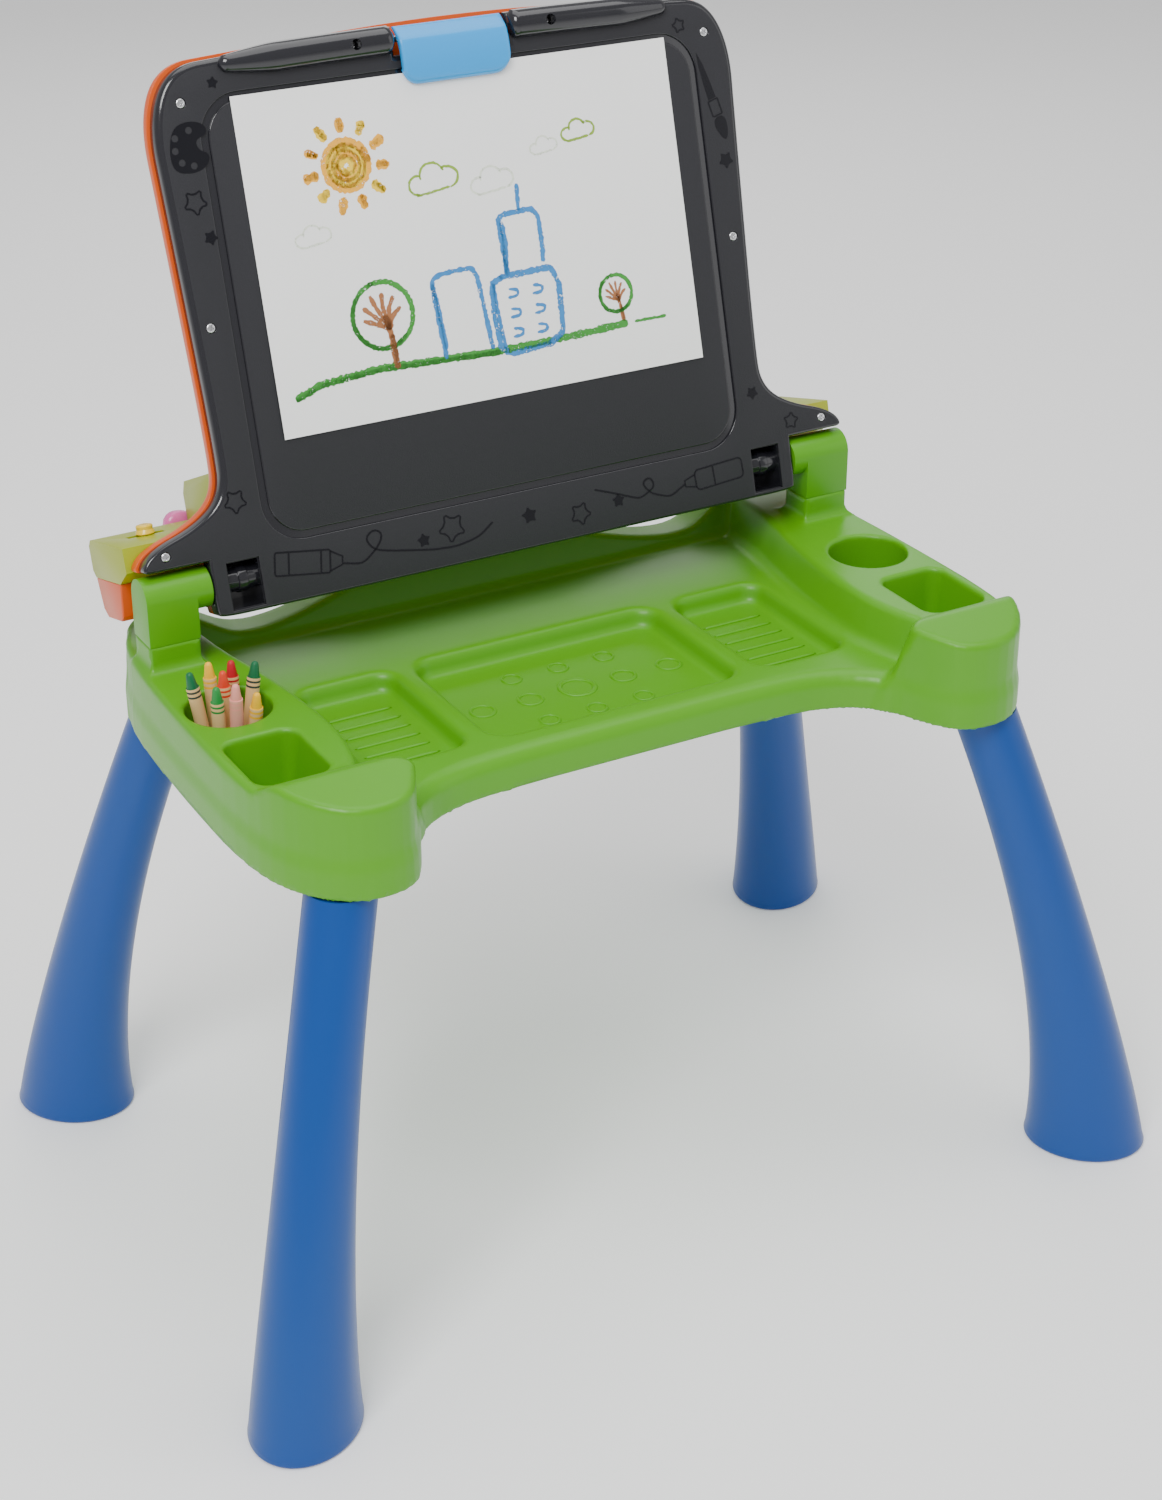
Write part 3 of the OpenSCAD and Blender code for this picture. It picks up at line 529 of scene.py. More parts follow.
HINGE_Z = hinge.z / MM
SEAM_Z = WING_Z + 17
LEG_TOP_X = HALF_W - 38
LEG_FRONT = 127
LEG_BACK = 127
SEAT_SLOPE = math.tan(math.radians(6.5))
WALL_TOP = ([0, 72, 100, 130, 158, 176, 192, 202, 400],
            [DECK_Z + 27, DECK_Z + 26, DECK_Z + 17, DECK_Z + 10, DECK_Z + 7, DECK_Z + 11, WING_Z - 2, WING_Z, WING_Z])


def wall_top(ax):
    """Height of the wall behind the deck: a low dip each side and an arch in the middle."""
    total = sum(np.interp(ax + shift, *WALL_TOP) for shift in (-12, -8, -4, 0, 4, 8, 12))
    return total / 7


def pocket(plan, z, rim, floor_z, lean, r):
    """A pocket with leaning walls, sunk from rim to floor_z, whose floor meets them in a curve."""
    a, b = plan + lean * (rim - z) + r, floor_z - z + r
    return np.minimum(np.maximum(a, b), 0) + np.hypot(np.maximum(a, 0), np.maximum(b, 0)) - r


def tray_distance(x, y, z):
    ax = np.abs(x)
    plan = outline_distance(x, y, TRAY_OUTLINE)
    deck = capped(plan, z - DECK_Z, 10)
    seat_z = HINGE_Z - 11.5 - SEAT_SLOPE * (HINGE_Y - y)
    top = WING_Z + step((-90 - y) / 24) * (seat_z - WING_Z)
    flank = (outline_distance(ax, y, WING_EDGE) - 0.34 * (top - z)) / math.hypot(1, 0.34)
    body = soft_min(deck, capped(soft_max(plan, flank, 5), z - top, 3.6), 7)
    front = (128 + 0.5 * (z - DECK_Z) - y) / math.hypot(1, 0.5)
    body = soft_min(body, capped(soft_max(plan, front, 4), z - wall_top(ax), 3.0), 6)
    foot = np.maximum(np.maximum(np.abs(ax - BLOCK_X) - 16, np.abs(y - HINGE_Y) - 12.5), z - SEAM_Z)
    body = soft_min(body, foot, 7)
    middle = pocket(rounded_rect(x, y, 0, -1, 87, 57, 16), z, DECK_Z, RECESS_FLOOR, 0.32, 4)
    sides = pocket(rounded_rect(ax, y, 133.5, -1, 33.5, 55, 14), z, DECK_Z, RECESS_FLOOR, 0.32, 4)
    body = soft_max(body, -np.minimum(middle, sides), 4.5)
    cups = pocket(np.hypot(ax - CUP_X, y - CUP_Y) - CUP_R, z, WING_Z, CUP_FLOOR, 0.03, 4)
    bins = pocket(rounded_rect(ax, y, r=10, **BIN), z, WING_Z, BIN_FLOOR, 0.13, 6)
    body = soft_max(body, -np.minimum(cups, bins), 2.4)
    shell = np.maximum(body, -(body + WALL))
    for leg_y in (-LEG_FRONT, LEG_BACK):
        ring = np.hypot(ax - LEG_TOP_X, y - leg_y)
        socket = np.maximum(np.maximum(ring - 17.6, 15.2 - ring), z - WING_Z + 3)
        shell = np.minimum(shell, np.maximum(socket, SKIRT_Z + 2 - z))
    return np.maximum(shell, SKIRT_Z - z)


# %% [markdown]
# The grid's cells that the surface passes through each give one vertex, at the mean of where the surface crosses the
# cell's edges. Every grid edge that crosses the surface gives one four-sided face. A last step pulls each vertex
# straight on to the zero of the distance, so fillets come out smooth. The dense mesh is then thinned where it is flat.

# %% Drawing a mesh through a distance


def surface_mesh(distance, low, high, cell, name):
    """A closed mesh of the surface where distance is zero, in metres; all inputs are in millimetres."""
    axes = [np.arange(a - 2.137 * cell, b + 3 * cell, cell) for a, b in zip(low, high)]
    shape = [len(a) for a in axes]
    grid = np.meshgrid(*axes, indexing="ij", sparse=True)
    values = np.broadcast_to(distance(*grid), shape).copy()
    cells = [n - 1 for n in shape]
    total, count = np.zeros(cells + [3]), np.zeros(cells)
    for axis in range(3):
        others = [a for a in range(3) if a != axis]
        for da in (0, 1):
            for db in (0, 1):
                start = [0, 0, 0]
                start[others[0]], start[others[1]] = da, db
                here = tuple(slice(s, s + n) for s, n in zip(start, cells))
                ahead = list(here)
                ahead[axis] = slice(1, 1 + cells[axis])
                a, b = values[here], values[tuple(ahead)]
                crosses = (a < 0) != (b < 0)
                place = np.where(crosses, a / np.where(a == b, 1, a - b), 0)
                for k in range(3):
                    total[..., k] += np.where(crosses, place if k == axis else start[k], 0)
                count += crosses
    full = count > 0
    index = np.full(cells, -1)
    index[full] = np.arange(full.sum())
    corner = np.stack(np.nonzero(full), 1)
    points = (corner + total[full] / count[full][:, None]) * cell + np.array([a[0] for a in axes])
    faces = []
    for axis in range(3):
        b, c = (axis + 1) % 3, (axis + 2) % 3
        here = [slice(None)] * 3
        here[axis] = slice(0, -1)
        ahead = [slice(None)] * 3
        ahead[axis] = slice(1, None)
        low_side, high_side = values[tuple(here)] < 0, values[tuple(ahead)] < 0
        spots = np.stack(np.nonzero(low_side != high_side), 1)
        outward = low_side[tuple(spots.T)]
        ring = []
        for db, dc in ((0, 0), (-1, 0), (-1, -1), (0, -1)):
            at = spots.copy()
            at[:, b] += db
            at[:, c] += dc
            ring.append(index[tuple(at.T)])
        quad = np.stack(ring, 1)
        faces.append(np.where(outward[:, None], quad, quad[:, ::-1]))
    faces = np.concatenate(faces)
    for _ in range(2):
        value = distance(*points.T)
        slope = np.stack([
            (distance(*(points + d).T) - distance(*(points - d).T)) / 0.2 for d in np.eye(3) * 0.1], 1)
        steep = np.maximum((slope ** 2).sum(1), 0.25)
        move = np.clip(value / steep, -cell * 0.4, cell * 0.4)
        points = points - slope * move[:, None]
    mesh = bpy.data.meshes.new(name)
    mesh.from_pydata((points * MM).tolist(), [], faces.tolist())
    mesh.update()
    return mesh


def thinned(mesh, name, ratio):
    work = placed("work", mesh)
    fewer = work.modifiers.new("fewer", "DECIMATE")
    fewer.ratio = ratio
    fewer.use_collapse_triangulate = True
    return baked(work, name)


CELL = 1.9
dense = surface_mesh(tray_distance, (-HALF_W, -TRAY_FRONT, SKIRT_Z), (HALF_W, TRAY_BACK, SEAM_Z), CELL, "tray_dense")
tray_mesh = thinned(dense, "tray", min(1.0, 92000 / max(1, len(dense.polygons))))
keep("tray_moulding", tray_mesh, "tray", GREEN)
print("tray faces:", len(tray_mesh.polygons))


# %% [markdown]
# ## Ribs and rings in the recesses
# Two of the recesses have a row of low ribs and the middle one has thin rings. Both repeat, so Geometry Nodes makes
# them: points go in, one small shape is put on each, and the copies are made real. Changing the pitch or the height
# is then one input. Low details like these catch only a thin line of light, which is what tells a moulded floor.

# %% A tree that puts one shape on every point


def copies_tree(name, material):
    """Points in, copies of a shape out, each scaled and turned by attributes on the points."""
    tree = bpy.data.node_groups.new(name, "GeometryNodeTree")
    tree.interface.new_socket("Geometry", in_out="INPUT", socket_type="NodeSocketGeometry")
    tree.interface.new_socket("Shape", in_out="INPUT", socket_type="NodeSocketObject")
    tree.interface.new_socket("Size", in_out="INPUT", socket_type="NodeSocketFloat").default_value = 1.0
    tree.interface.new_socket("Geometry", in_out="OUTPUT", socket_type="NodeSocketGeometry")
    source, sink = tree.nodes.new("NodeGroupInput"), tree.nodes.new("NodeGroupOutput")
    info = tree.nodes.new("GeometryNodeObjectInfo")
    put = tree.nodes.new("GeometryNodeInstanceOnPoints")
    turn = tree.nodes.new("GeometryNodeInputNamedAttribute")
    turn.data_type = "FLOAT_VECTOR"
    turn.inputs["Name"].default_value = "turn"
    grow = tree.nodes.new("GeometryNodeInputNamedAttribute")
    grow.data_type = "FLOAT_VECTOR"
    grow.inputs["Name"].default_value = "grow"
    scale = tree.nodes.new("ShaderNodeVectorMath")
    scale.operation = "SCALE"
    real = tree.nodes.new("GeometryNodeRealizeInstances")
    paint = tree.nodes.new("GeometryNodeSetMaterial")
    paint.inputs["Material"].default_value = material
    link = tree.links.new
    link(source.outputs["Geometry"], put.inputs["Points"])
    link(source.outputs["Shape"], info.inputs["Object"])
    link(info.outputs["Geometry"], put.inputs["Instance"])
    link(turn.outputs["Attribute"], put.inputs["Rotation"])
    link(grow.outputs["Attribute"], scale.inputs[0])
    link(source.outputs["Size"], scale.inputs["Scale"])
    link(scale.outputs["Vector"], put.inputs["Scale"])
    link(put.outputs["Instances"], real.inputs["Geometry"])
    link(real.outputs["Geometry"], paint.inputs["Geometry"])
    link(paint.outputs["Geometry"], sink.inputs["Geometry"])
    return tree


def copies(name, shape, places, material, size=1.0):
    """Copies of a mesh at (point, turn, grow) places, in metres, baked to one plain mesh."""
    holder = placed("shape", shape)
    points = bpy.data.meshes.new(name)
    points.from_pydata([place[0] for place in places], [], [])
    for label, column in (("turn", 1), ("grow", 2)):
        data = points.attributes.new(label, "FLOAT_VECTOR", "POINT")
        for i, place in enumerate(places):
            data.data[i].vector = place[column]
    work = placed("work", points)
    modifier = work.modifiers.new("copies", "NODES")
    modifier.node_group = copies_tree(name + "_copies", material)
    for item in modifier.node_group.interface.items_tree:
        if item.in_out == "INPUT" and item.name == "Shape":
            modifier[item.identifier] = holder
        if item.in_out == "INPUT" and item.name == "Size":
            modifier[item.identifier] = size
    mesh = baked(work, name)
    bpy.data.objects.remove(holder)
    mesh.materials.clear()
    return mesh


def lathe(profile, around=48):
    """A closed mesh turned about Z from (radius, height) pairs that start and end on the axis."""
    bm = bmesh.new()
    rings = []
    for radius, height in profile:
        if radius < 1e-7:
            rings.append([bm.verts.new((0, 0, height))])
            continue
        rings.append([bm.verts.new((radius * math.cos(a), radius * math.sin(a), height))
                      for a in full_turn(around)])
    for low, high in zip(rings, rings[1:]):
        for i in range(around):
            corners = [low[i % len(low)], low[(i + 1) % len(low)], high[(i + 1) % len(high)], high[i % len(high)]]
            corners = list(dict.fromkeys(corners))
            if len(corners) > 2:
                bm.faces.new(corners)
    return to_mesh(bm, "turned")


# %% Ribs and rings


def torus_mesh(major, minor, name):
    bm = bmesh.new()
    around, across = 48, 10
    rings = []
    for i in range(around):
        a = 2 * math.pi * i / around
        ring = []
        for j in range(across):
            b = 2 * math.pi * j / across
            r = major + minor * math.cos(b)
            ring.append(bm.verts.new((r * math.cos(a), r * math.sin(a), minor * 0.9 * math.sin(b))))
        rings.append(ring)
    for i in range(around):
        for j in range(across):
            ring, after = rings[i], rings[(i + 1) % around]
            bm.faces.new((ring[j], after[j], after[(j + 1) % across], ring[(j + 1) % across]))
    return to_mesh(bm, name)


def bar_mesh(length, radius, name):
    """A low rounded bar along X with round ends, one unit long before its places grow it."""
    bm = bmesh.new()
    rings = []
    for i in range(17):
        t = -1 + i / 8
        shrink = math.sqrt(max(0.0, 1 - abs(t) ** 10))
        rings.append([bm.verts.new((t * length / 2, radius * shrink * math.cos(b), radius * 0.8 * shrink * math.sin(b)))
                      for b in full_turn(12)])
    for ring, after in zip(rings, rings[1:]):
        for j in range(12):
            bm.faces.new((ring[j], after[j], after[(j + 1) % 12], ring[(j + 1) % 12]))
    bmesh.ops.remove_doubles(bm, verts=bm.verts, dist=1e-7)
    return to_mesh(bm, name)


SIDE_RECESS_X = 133.5
RIB_PITCH = 13
rib_places = []
for side in (-1, 1):
    for i in range(6):
        spot = (side * SIDE_RECESS_X * MM, (-36.7 + RIB_PITCH * i) * MM, (RECESS_FLOOR + 0.1) * MM)
        rib_places.append((spot, (0, 0, 0), (1, 1, 1)))
ribs = copies("recess_ribs", bar_mesh(44 * MM, 1.5 * MM, "bar"), rib_places, GREEN)
keep("recess_ribs", ribs, "tray", GREEN, replace=False)
ring_places = []
for row in (-1, 0, 1):
    for i in range(-2, 3):
        if abs(i) + abs(row) < 3:
            big = 11 if (row, i) == (0, 0) else 7.5 if row == 0 else 6
            spot = ((i * 33 + row * 3) * MM, (row * 30 - 4) * MM, RECESS_FLOOR * MM)
            ring_places.append((spot, (0, 0, 0), (big / 6, big / 6, 1)))
rings = copies("recess_rings", torus_mesh(6 * MM, 0.9 * MM, "ring"), ring_places, GREEN)
keep("recess_rings", rings, "tray", GREEN, replace=False)
print("ribs:", len(rib_places), "rings:", len(ring_places))

# %% [markdown]
# ## Legs
# Each leg is a blown tube that bows outwards and flares to its foot. Its centre line and its radius both follow
# simple powers of the height, so it is drawn as a stack of rings from those two rules. The rings also turn under at
# the foot and climb a little way inside, because a hollow foot shows its wall when the desk is tipped.

# %% Legs
LEG_H = SKIRT_Z - 1
LEG_POINTS = 96
FOOT_X, FOOT_Y, FOOT_R, LEG_TOP_R = 284, 187, 36, 21


def leg_ring(t, inset, side_x, side_y, top_y, z=None):
    t = max(0.0, t)
    bow = t ** 1.45
    centre = Vector((FOOT_X + (LEG_TOP_X - FOOT_X) * bow, FOOT_Y + (top_y - FOOT_Y) * bow))
    radius = LEG_TOP_R + (FOOT_R - LEG_TOP_R) * (1 - t) ** 2.4
    longer = 1 + 0.10 * (1 - t) ** 2
    turn = math.atan2(FOOT_Y - top_y, FOOT_X - LEG_TOP_X)
    ring = []
    for a in full_turn(LEG_POINTS):
        along, across = (radius * longer - inset) * math.cos(a), (radius * (2 - longer) - inset) * math.sin(a)
        x = centre.x + along * math.cos(turn) - across * math.sin(turn)
        y = centre.y + along * math.sin(turn) + across * math.cos(turn)
        ring.append((side_x * x * MM, side_y * y * MM, (t * LEG_H if z is None else z) * MM))
    return ring


def skin(rings, name):
    """A closed mesh over a stack of rings that all have the same number of points."""
    bm = bmesh.new()
    made = [[bm.verts.new(p) for p in ring] for ring in rings]
    for low, high in zip(made, made[1:]):
        stitch(bm, low, high)
    bm.faces.new(made[0][::-1])
    bm.faces.new(made[-1])
    return to_mesh(bm, name)


def leg(node, side_x, side_y):
    top_y = LEG_FRONT if side_y < 0 else LEG_BACK
    rings = [leg_ring(t, 5, side_x, side_y, top_y) for t in (0.22, 0.16, 0.1, 0.05, 0.006)]
    for i in range(5):
        a = math.pi / 2 * i / 4
        rings.append(leg_ring(0, 2.5 * (1 - math.sin(a)), side_x, side_y, top_y, z=2.5 * (1 - math.cos(a))))
    rings += [leg_ring(t, 0, side_x, side_y, top_y) for t in np.linspace(0.02, 1, 50)]
    for radius, z in ((15, LEG_H), (15, SKIRT_Z + 33), (14, SKIRT_Z + 34)):
        rings.append([((side_x * LEG_TOP_X + radius * math.cos(a)) * MM, (side_y * top_y + radius * math.sin(a)) * MM,
                       z * MM) for a in full_turn(LEG_POINTS)])
    if side_x * side_y < 0:
        rings[-3:] = [[ring[-i] for i in range(LEG_POINTS)] for ring in rings[-3:]]
    mesh = skin(rings, node + "_blown")
    sharpen(mesh, 50)
    keep(node + "_blown", mesh, node, BLUE, smooth=False)


leg("leg_front_left", -1, -1)
leg("leg_front_right", 1, -1)
leg("leg_back_left", -1, 1)
leg("leg_back_right", 1, 1)
print("legs made")

# %% [markdown]
# ## Hinge blocks and barrels
# Small plain parts are right in the CAD model already, apart from one thing: no moulded edge is sharp. A copy with
# rounded edges replaces each one. The width of the rounding is about a tenth of the part's thickness.

# %% Hinge
for side in ("left", "right"):
    softened("hinge_cap_" + side, GREEN, 2.4, segments=4)
    softened("hinge_barrel_" + side, GLOSS_BLACK, 0.7)
    refinish("hinge_pin_" + side, DRAWN)
refinish("hinge_screws", ZINC)

# %% [markdown]
# ## Plates
# The lid is a sandwich of two plates with the same smooth outline. A plate is built from rings as well: its outline
# is moved inwards step by step round a quarter circle, which rounds the rim, and the flat faces are filled with the
# windows left open. Rims and faces get different materials, because the rim of the board is polished and its face is
# textured.

# %% Outline and plate helpers
LID_H = 307
LID_W = 193
EAR = 15
CHEEK = HALF_W - 52


def inset_outline(points, distance):
    """Moves an anticlockwise outline inwards."""
    points = np.asarray(points, float)
    before, after = points - np.roll(points, 1, 0), np.roll(points, -1, 0) - points
    before /= np.linalg.norm(before, axis=1)[:, None]
    after /= np.linalg.norm(after, axis=1)[:, None]
    left_a = np.stack([-before[:, 1], before[:, 0]], 1)
    left_b = np.stack([-after[:, 1], after[:, 0]], 1)
    middle = left_a + left_b
    middle /= np.linalg.norm(middle, axis=1)[:, None]
    return points + middle * (np.asarray(distance) / np.maximum(0.5, (middle * left_a).sum(1)))[:, None]


def anticlockwise(points):
    points = np.asarray(points, float)
    x, y = points.T
    area = (x * np.roll(y, -1) - np.roll(x, -1) * y).sum()
    return points if area > 0 else points[::-1]


def lid_point(x, y, v):
    return LID @ Vector((x * MM, y * MM, v * MM))


def plate(bm, outline, holes, y0, y1, rim0, rim1, face_mat, rim_mat, hole_rim=0.5, steps=5):
    """A plate between two depths in the lid's frame. rim0 and rim1 round its edges at y0 and y1."""
    def wall(points, r0, r1, sign):
        r0, r1 = (np.broadcast_to(np.asarray(r, float), (len(points),)) for r in (r0, r1))
        rings = []
        for i in range(steps):
            a = math.pi / 2 * i / (steps - 1)
            rings.append((sign * r0 * (1 - math.sin(a)), y0 + r0 * (1 - math.cos(a))))
        for i in range(steps):
            a = math.pi / 2 * (1 - i / (steps - 1))
            rings.append((sign * r1 * (1 - math.sin(a)), y1 - r1 * (1 - math.cos(a))))
        loops = []
        for inset, depths in rings:
            moved = inset_outline(points, inset)
            loops.append([bm.verts.new(lid_point(x, y, v)) for (x, v), y in zip(moved, depths)])
        for low, high in zip(loops, loops[1:]):
            stitch(bm, low, high, rim_mat)
        return loops[0], loops[-1]

    walls = [wall(anticlockwise(outline), rim0, rim1, 1)]
    rims = hole_rim if isinstance(hole_rim, list) else [hole_rim] * len(holes)
    walls += [wall(anticlockwise(hole), rim, rim, -1) for hole, rim in zip(holes, rims)]
    for side in (0, 1):
        fill_flat(bm, [pair[side] for pair in walls], face_mat)


def fill_flat(bm, loops, material):
    """Fills the flat area between an outer loop and its holes with triangles."""
    flat = [v for loop in loops for v in loop]
    spots = [TO_LID @ v.co / MM for v in flat]
    edges, start = [], 0
    for loop in loops:
        edges += [(start + i, start + (i + 1) % len(loop)) for i in range(len(loop))]
        start += len(loop)
    result = delaunay_2d_cdt([Vector((p.x, p.z)) for p in spots], edges, [], 0, 1e-5)
    origin = []
    for place, source in zip(result[0], result[3]):
        if not source:
            print("outlines cross at", [round(c, 2) for c in place])
            flat.append(bm.verts.new(lid_point(place.x, spots[0].y, place.y)))
            spots.append(Vector((place.x, spots[0].y, place.y)))
        origin.append(source[0] if source else len(flat) - 1)
    flat_spots = np.array([(spots[i].x, spots[i].z) for i in origin])
    middles = np.array([flat_spots[list(face)].mean(axis=0) for face in result[2]])
    inside = np.zeros(len(middles), int)
    start = 0
    for loop in loops:
        outline = np.array([(p.x, p.z) for p in spots[start:start + len(loop)]])
        inside += outline_distance(middles[:, 0], middles[:, 1], outline) < 0
        start += len(loop)
    for face, depth in zip(result[2], inside):
        if depth % 2 == 1:
            made = bm.faces.new([flat[origin[i]] for i in face])
            made.material_index = material


def rect(x0, x1, v0, v1, r=0.0, steps=8):
    if r <= 0:
        return [(x0, v0), (x1, v0), (x1, v1), (x0, v1)]
    points = []
    for cx, cv, turn in ((x1 - r, v0 + r, -90), (x1 - r, v1 - r, 0), (x0 + r, v1 - r, 90), (x0 + r, v0 + r, 180)):
        for i in range(steps + 1):
            a = math.radians(turn + 90 * i / steps)
            points.append((cx + r * math.cos(a), cv + r * math.sin(a)))
    return points


def circle(x, v, r, around=24):
    return [(x + r * math.cos(a), v + r * math.sin(a)) for a in full_turn(around)]


def lid_outline(g):
    """The lid's smooth outline, grown by g above the hinge, with its hinge cheeks kept square."""
    right = [
        (0, -20), (CHEEK - 40, -20), (CHEEK - 2, -20), (CHEEK, -16), (CHEEK, EAR - 4), (CHEEK, EAR),
        (HALF_W - 22, EAR), (HALF_W - 9 + g, EAR), (HALF_W - 18 + g, EAR + 12), (HALF_W - 50 + g, EAR + 22),
        (LID_W - 3 + g, EAR + 36), (LID_W - 5 + g, EAR + 60), (LID_W + g, LID_H * 0.72),
        (LID_W + 2 + g, LID_H - 38 + g), (LID_W - 14 + g, LID_H - 9 + g), (LID_W - 48, LID_H - 7 + g), (0, LID_H + g)]
    points = []
    for x, v in cut_corners(mirrored(right), 4):
        if abs(x) > CHEEK and v < EAR:
            x, v = math.copysign(CHEEK, x), EAR
        if not points or math.dist(points[-1], (x, v)) > 0.05:
            points.append((x, v))
    return anticlockwise(points)


WINDOWS = [rect(CHEEK - 31, CHEEK - 10, -17, 12), rect(10 - CHEEK, 31 - CHEEK, -17, 12)]
NOTCH_V = LID_H - 19
SHEET_V1 = NOTCH_V - 11
SHEET_W, SHEET_H = 292, 200
SCREWS = [(LID_W - 17, LID_H - 30), (LID_W - 13, 149), (HALF_W - 26, 23), (65, LID_H - 10.5)]
SCREWS = SCREWS + [(-x, v) for x, v in SCREWS]

# %% The drawing board
# The groove round the drawing area is a real gap between a frame and a raised middle, with the back plate seen
# through it.
CLIP_HALF = 37.5
board_outline = lid_outline(0)
notched = []
for x, v in board_outline:
    if abs(x) < CLIP_HALF + 4.5 and v > NOTCH_V:
        continue
    notched.append((float(x), float(v)))
for i, (x, v) in enumerate(notched):
    after = notched[(i + 1) % len(notched)]
    if v > NOTCH_V and after[1] > NOTCH_V and x > 0 > after[0]:
        notched[i + 1:i + 1] = [(CLIP_HALF, v), (CLIP_HALF, NOTCH_V), (-CLIP_HALF, NOTCH_V), (-CLIP_HALF, v)]
        break
screw_wells = [circle(x, v, 3.1) for x, v in SCREWS]
groove_out = rect(-167, 167, 17, SHEET_V1 + 2.5, 26, 12)
groove_in = rect(-162.5, 162.5, 21.5, SHEET_V1 - 2, 22, 12)


def rim_widths(outline, low, high):
    """A narrow rim round the hinge cheeks and a full one higher up."""
    return low + (high - low) * step((np.asarray(outline)[:, 1] - 30) / 30)


bm = bmesh.new()
notched = anticlockwise(notched)
hole_rims = [0.5, 0.5, 0.8] + [0.3] * len(screw_wells)
board_holes = WINDOWS + [groove_out] + screw_wells
plate(bm, notched, board_holes, -11, -0.02, rim_widths(notched, 1.8, 3.8), 0.4, 0, 1, hole_rims)
plate(bm, groove_in, [], -11, -1, 0.8, 0.4, 0, 1)
plate(bm, rect(-170, 170, 14, SHEET_V1 + 5, 28, 12), [], -9.7, -0.6, 0.2, 0.2, 1, 1)
board = to_mesh(bm, "drawing_board")
sharpen(board, 40)
keep("drawing_board", board, "board_frame", [CHARCOAL, GLOSS_BLACK], smooth=False)

bm = bmesh.new()
shell_outline = lid_outline(1.8)
plate(bm, shell_outline, WINDOWS, 0.02, 9, 0.4, rim_widths(shell_outline, 1.8, 4.5), 0, 0, hole_rim=0.4)
shell_mesh = to_mesh(bm, "back_shell")
sharpen(shell_mesh, 40)
keep("back_shell", shell_mesh, "lid_shell", ORANGE, smooth=False)
print("board faces:", len(board.polygons), "shell faces:", len(shell_mesh.polygons))

# %% Painted shade: black linings and a black back sheet in the hinge windows
SHADE_WALL = 0.5


def lid_block(bm, x_range, y_range, v_range):
    """A plain block in the lid's frame."""
    for vert in bmesh.ops.create_cube(bm, size=1.0)["verts"]:
        x, y, v = (ends[int(part > 0)] for ends, part in zip((x_range, y_range, v_range), vert.co))
        vert.co = lid_point(x, y, v)


# Black walls round each hinge window and a black sheet across its back are painted shade: they darken the hole where
# the orange shell would show.
bm = bmesh.new()
for window in WINDOWS:
    x0, v0 = np.min(window, axis=0) + 0.05
    x1, v1 = np.max(window, axis=0) - 0.05
    lid_block(bm, (x0, x1), (-9.5, 8.6), (v0, v0 + SHADE_WALL))
    lid_block(bm, (x0, x1), (-9.5, 8.6), (v1 - SHADE_WALL, v1))
    lid_block(bm, (x0, x0 + SHADE_WALL), (-9.5, 8.6), (v0, v1))
    lid_block(bm, (x1 - SHADE_WALL, x1), (-9.5, 8.6), (v0, v1))
    lid_block(bm, (x0 + 0.1, x1 - 0.1), (8.65, 8.95), (v0 + 0.1, v1 - 0.1))
bmesh.ops.recalc_face_normals(bm, faces=bm.faces)
keep("window_linings", to_mesh(bm, "window_linings"), "board_frame", GLOSS_BLACK, replace=False, smooth=False)


# %% [markdown]
# ## Inlaid pictures on the board
# Around the drawing area the board carries small moulded pictures: a palette, stars, a crayon and a brush. On the real
# thing they are polished lines in a textured face, so they are modelled as thin strips and patches a fraction of a
# millimetre proud and given a smoother, darker finish. A strip is drawn along a list of points; a patch fills one.

# %% Strips and patches


def strip(bm, points, width, y, lift=0.16, closed=False, material=0):
    """A flat-topped strip along points on a plane of the lid at depth y, standing out towards the child."""
    points = np.asarray(points, float)
    n = len(points)
    ahead = np.roll(points, -1, 0) - points
    behind = points - np.roll(points, 1, 0)
    if not closed:
        ahead[-1], behind[0] = behind[-1], ahead[0]
    direction = ahead / np.linalg.norm(ahead, axis=1)[:, None] + behind / np.linalg.norm(behind, axis=1)[:, None]
    direction /= np.maximum(np.linalg.norm(direction, axis=1)[:, None], 1e-6)
    side = np.stack([-direction[:, 1], direction[:, 0]], 1)
    widths = np.broadcast_to(np.asarray(width, float), (n,))[:, None] / 2
    left, right = points + side * widths, points - side * widths
    rows = []
    for (lx, lv), (rx, rv) in zip(left, right):
        rows.append([bm.verts.new(lid_point(*corner)) for corner in
                     ((lx, y, lv), (lx, y - lift, lv), (rx, y - lift, rv), (rx, y, rv))])
    for i in range(n if closed else n - 1):
        stitch(bm, rows[i], rows[(i + 1) % n], material)
    if not closed:
        bm.faces.new(rows[0][::-1]).material_index = material
        bm.faces.new(rows[-1]).material_index = material


def patch(bm, outline, y, lift=0.16, holes=(), material=0):
    """A filled flat shape standing out from a plane of the lid."""
    before = len(bm.faces)
    plate(bm, outline, list(holes), y - lift, y, 0.0, 0.0, material, material, hole_rim=0.0, steps=2)
    bm.faces.ensure_lookup_table()
    return len(bm.faces) - before


def star(x, v, r, turn=0.0):
    points = []
    for i in range(10):
        a = math.radians(90 + turn + 36 * i)
        reach = r if i % 2 == 0 else r * 0.52
        points.append((x + reach * math.cos(a), v + reach * math.sin(a)))
    return [tuple(p) for p in cut_corners(points, 1)]


def along(points, count=24):
    """A smooth open curve through points."""
    points = np.asarray(points, float)
    steps = np.concatenate([[0], np.cumsum(np.linalg.norm(np.diff(points, axis=0), axis=1))])
    at = np.linspace(0, steps[-1], count)
    raw = np.stack([np.interp(at, steps, points[:, 0]), np.interp(at, steps, points[:, 1])], 1)
    for _ in range(3):
        raw[1:-1] = raw[1:-1] * 0.5 + (raw[:-2] + raw[2:]) * 0.25
    return raw


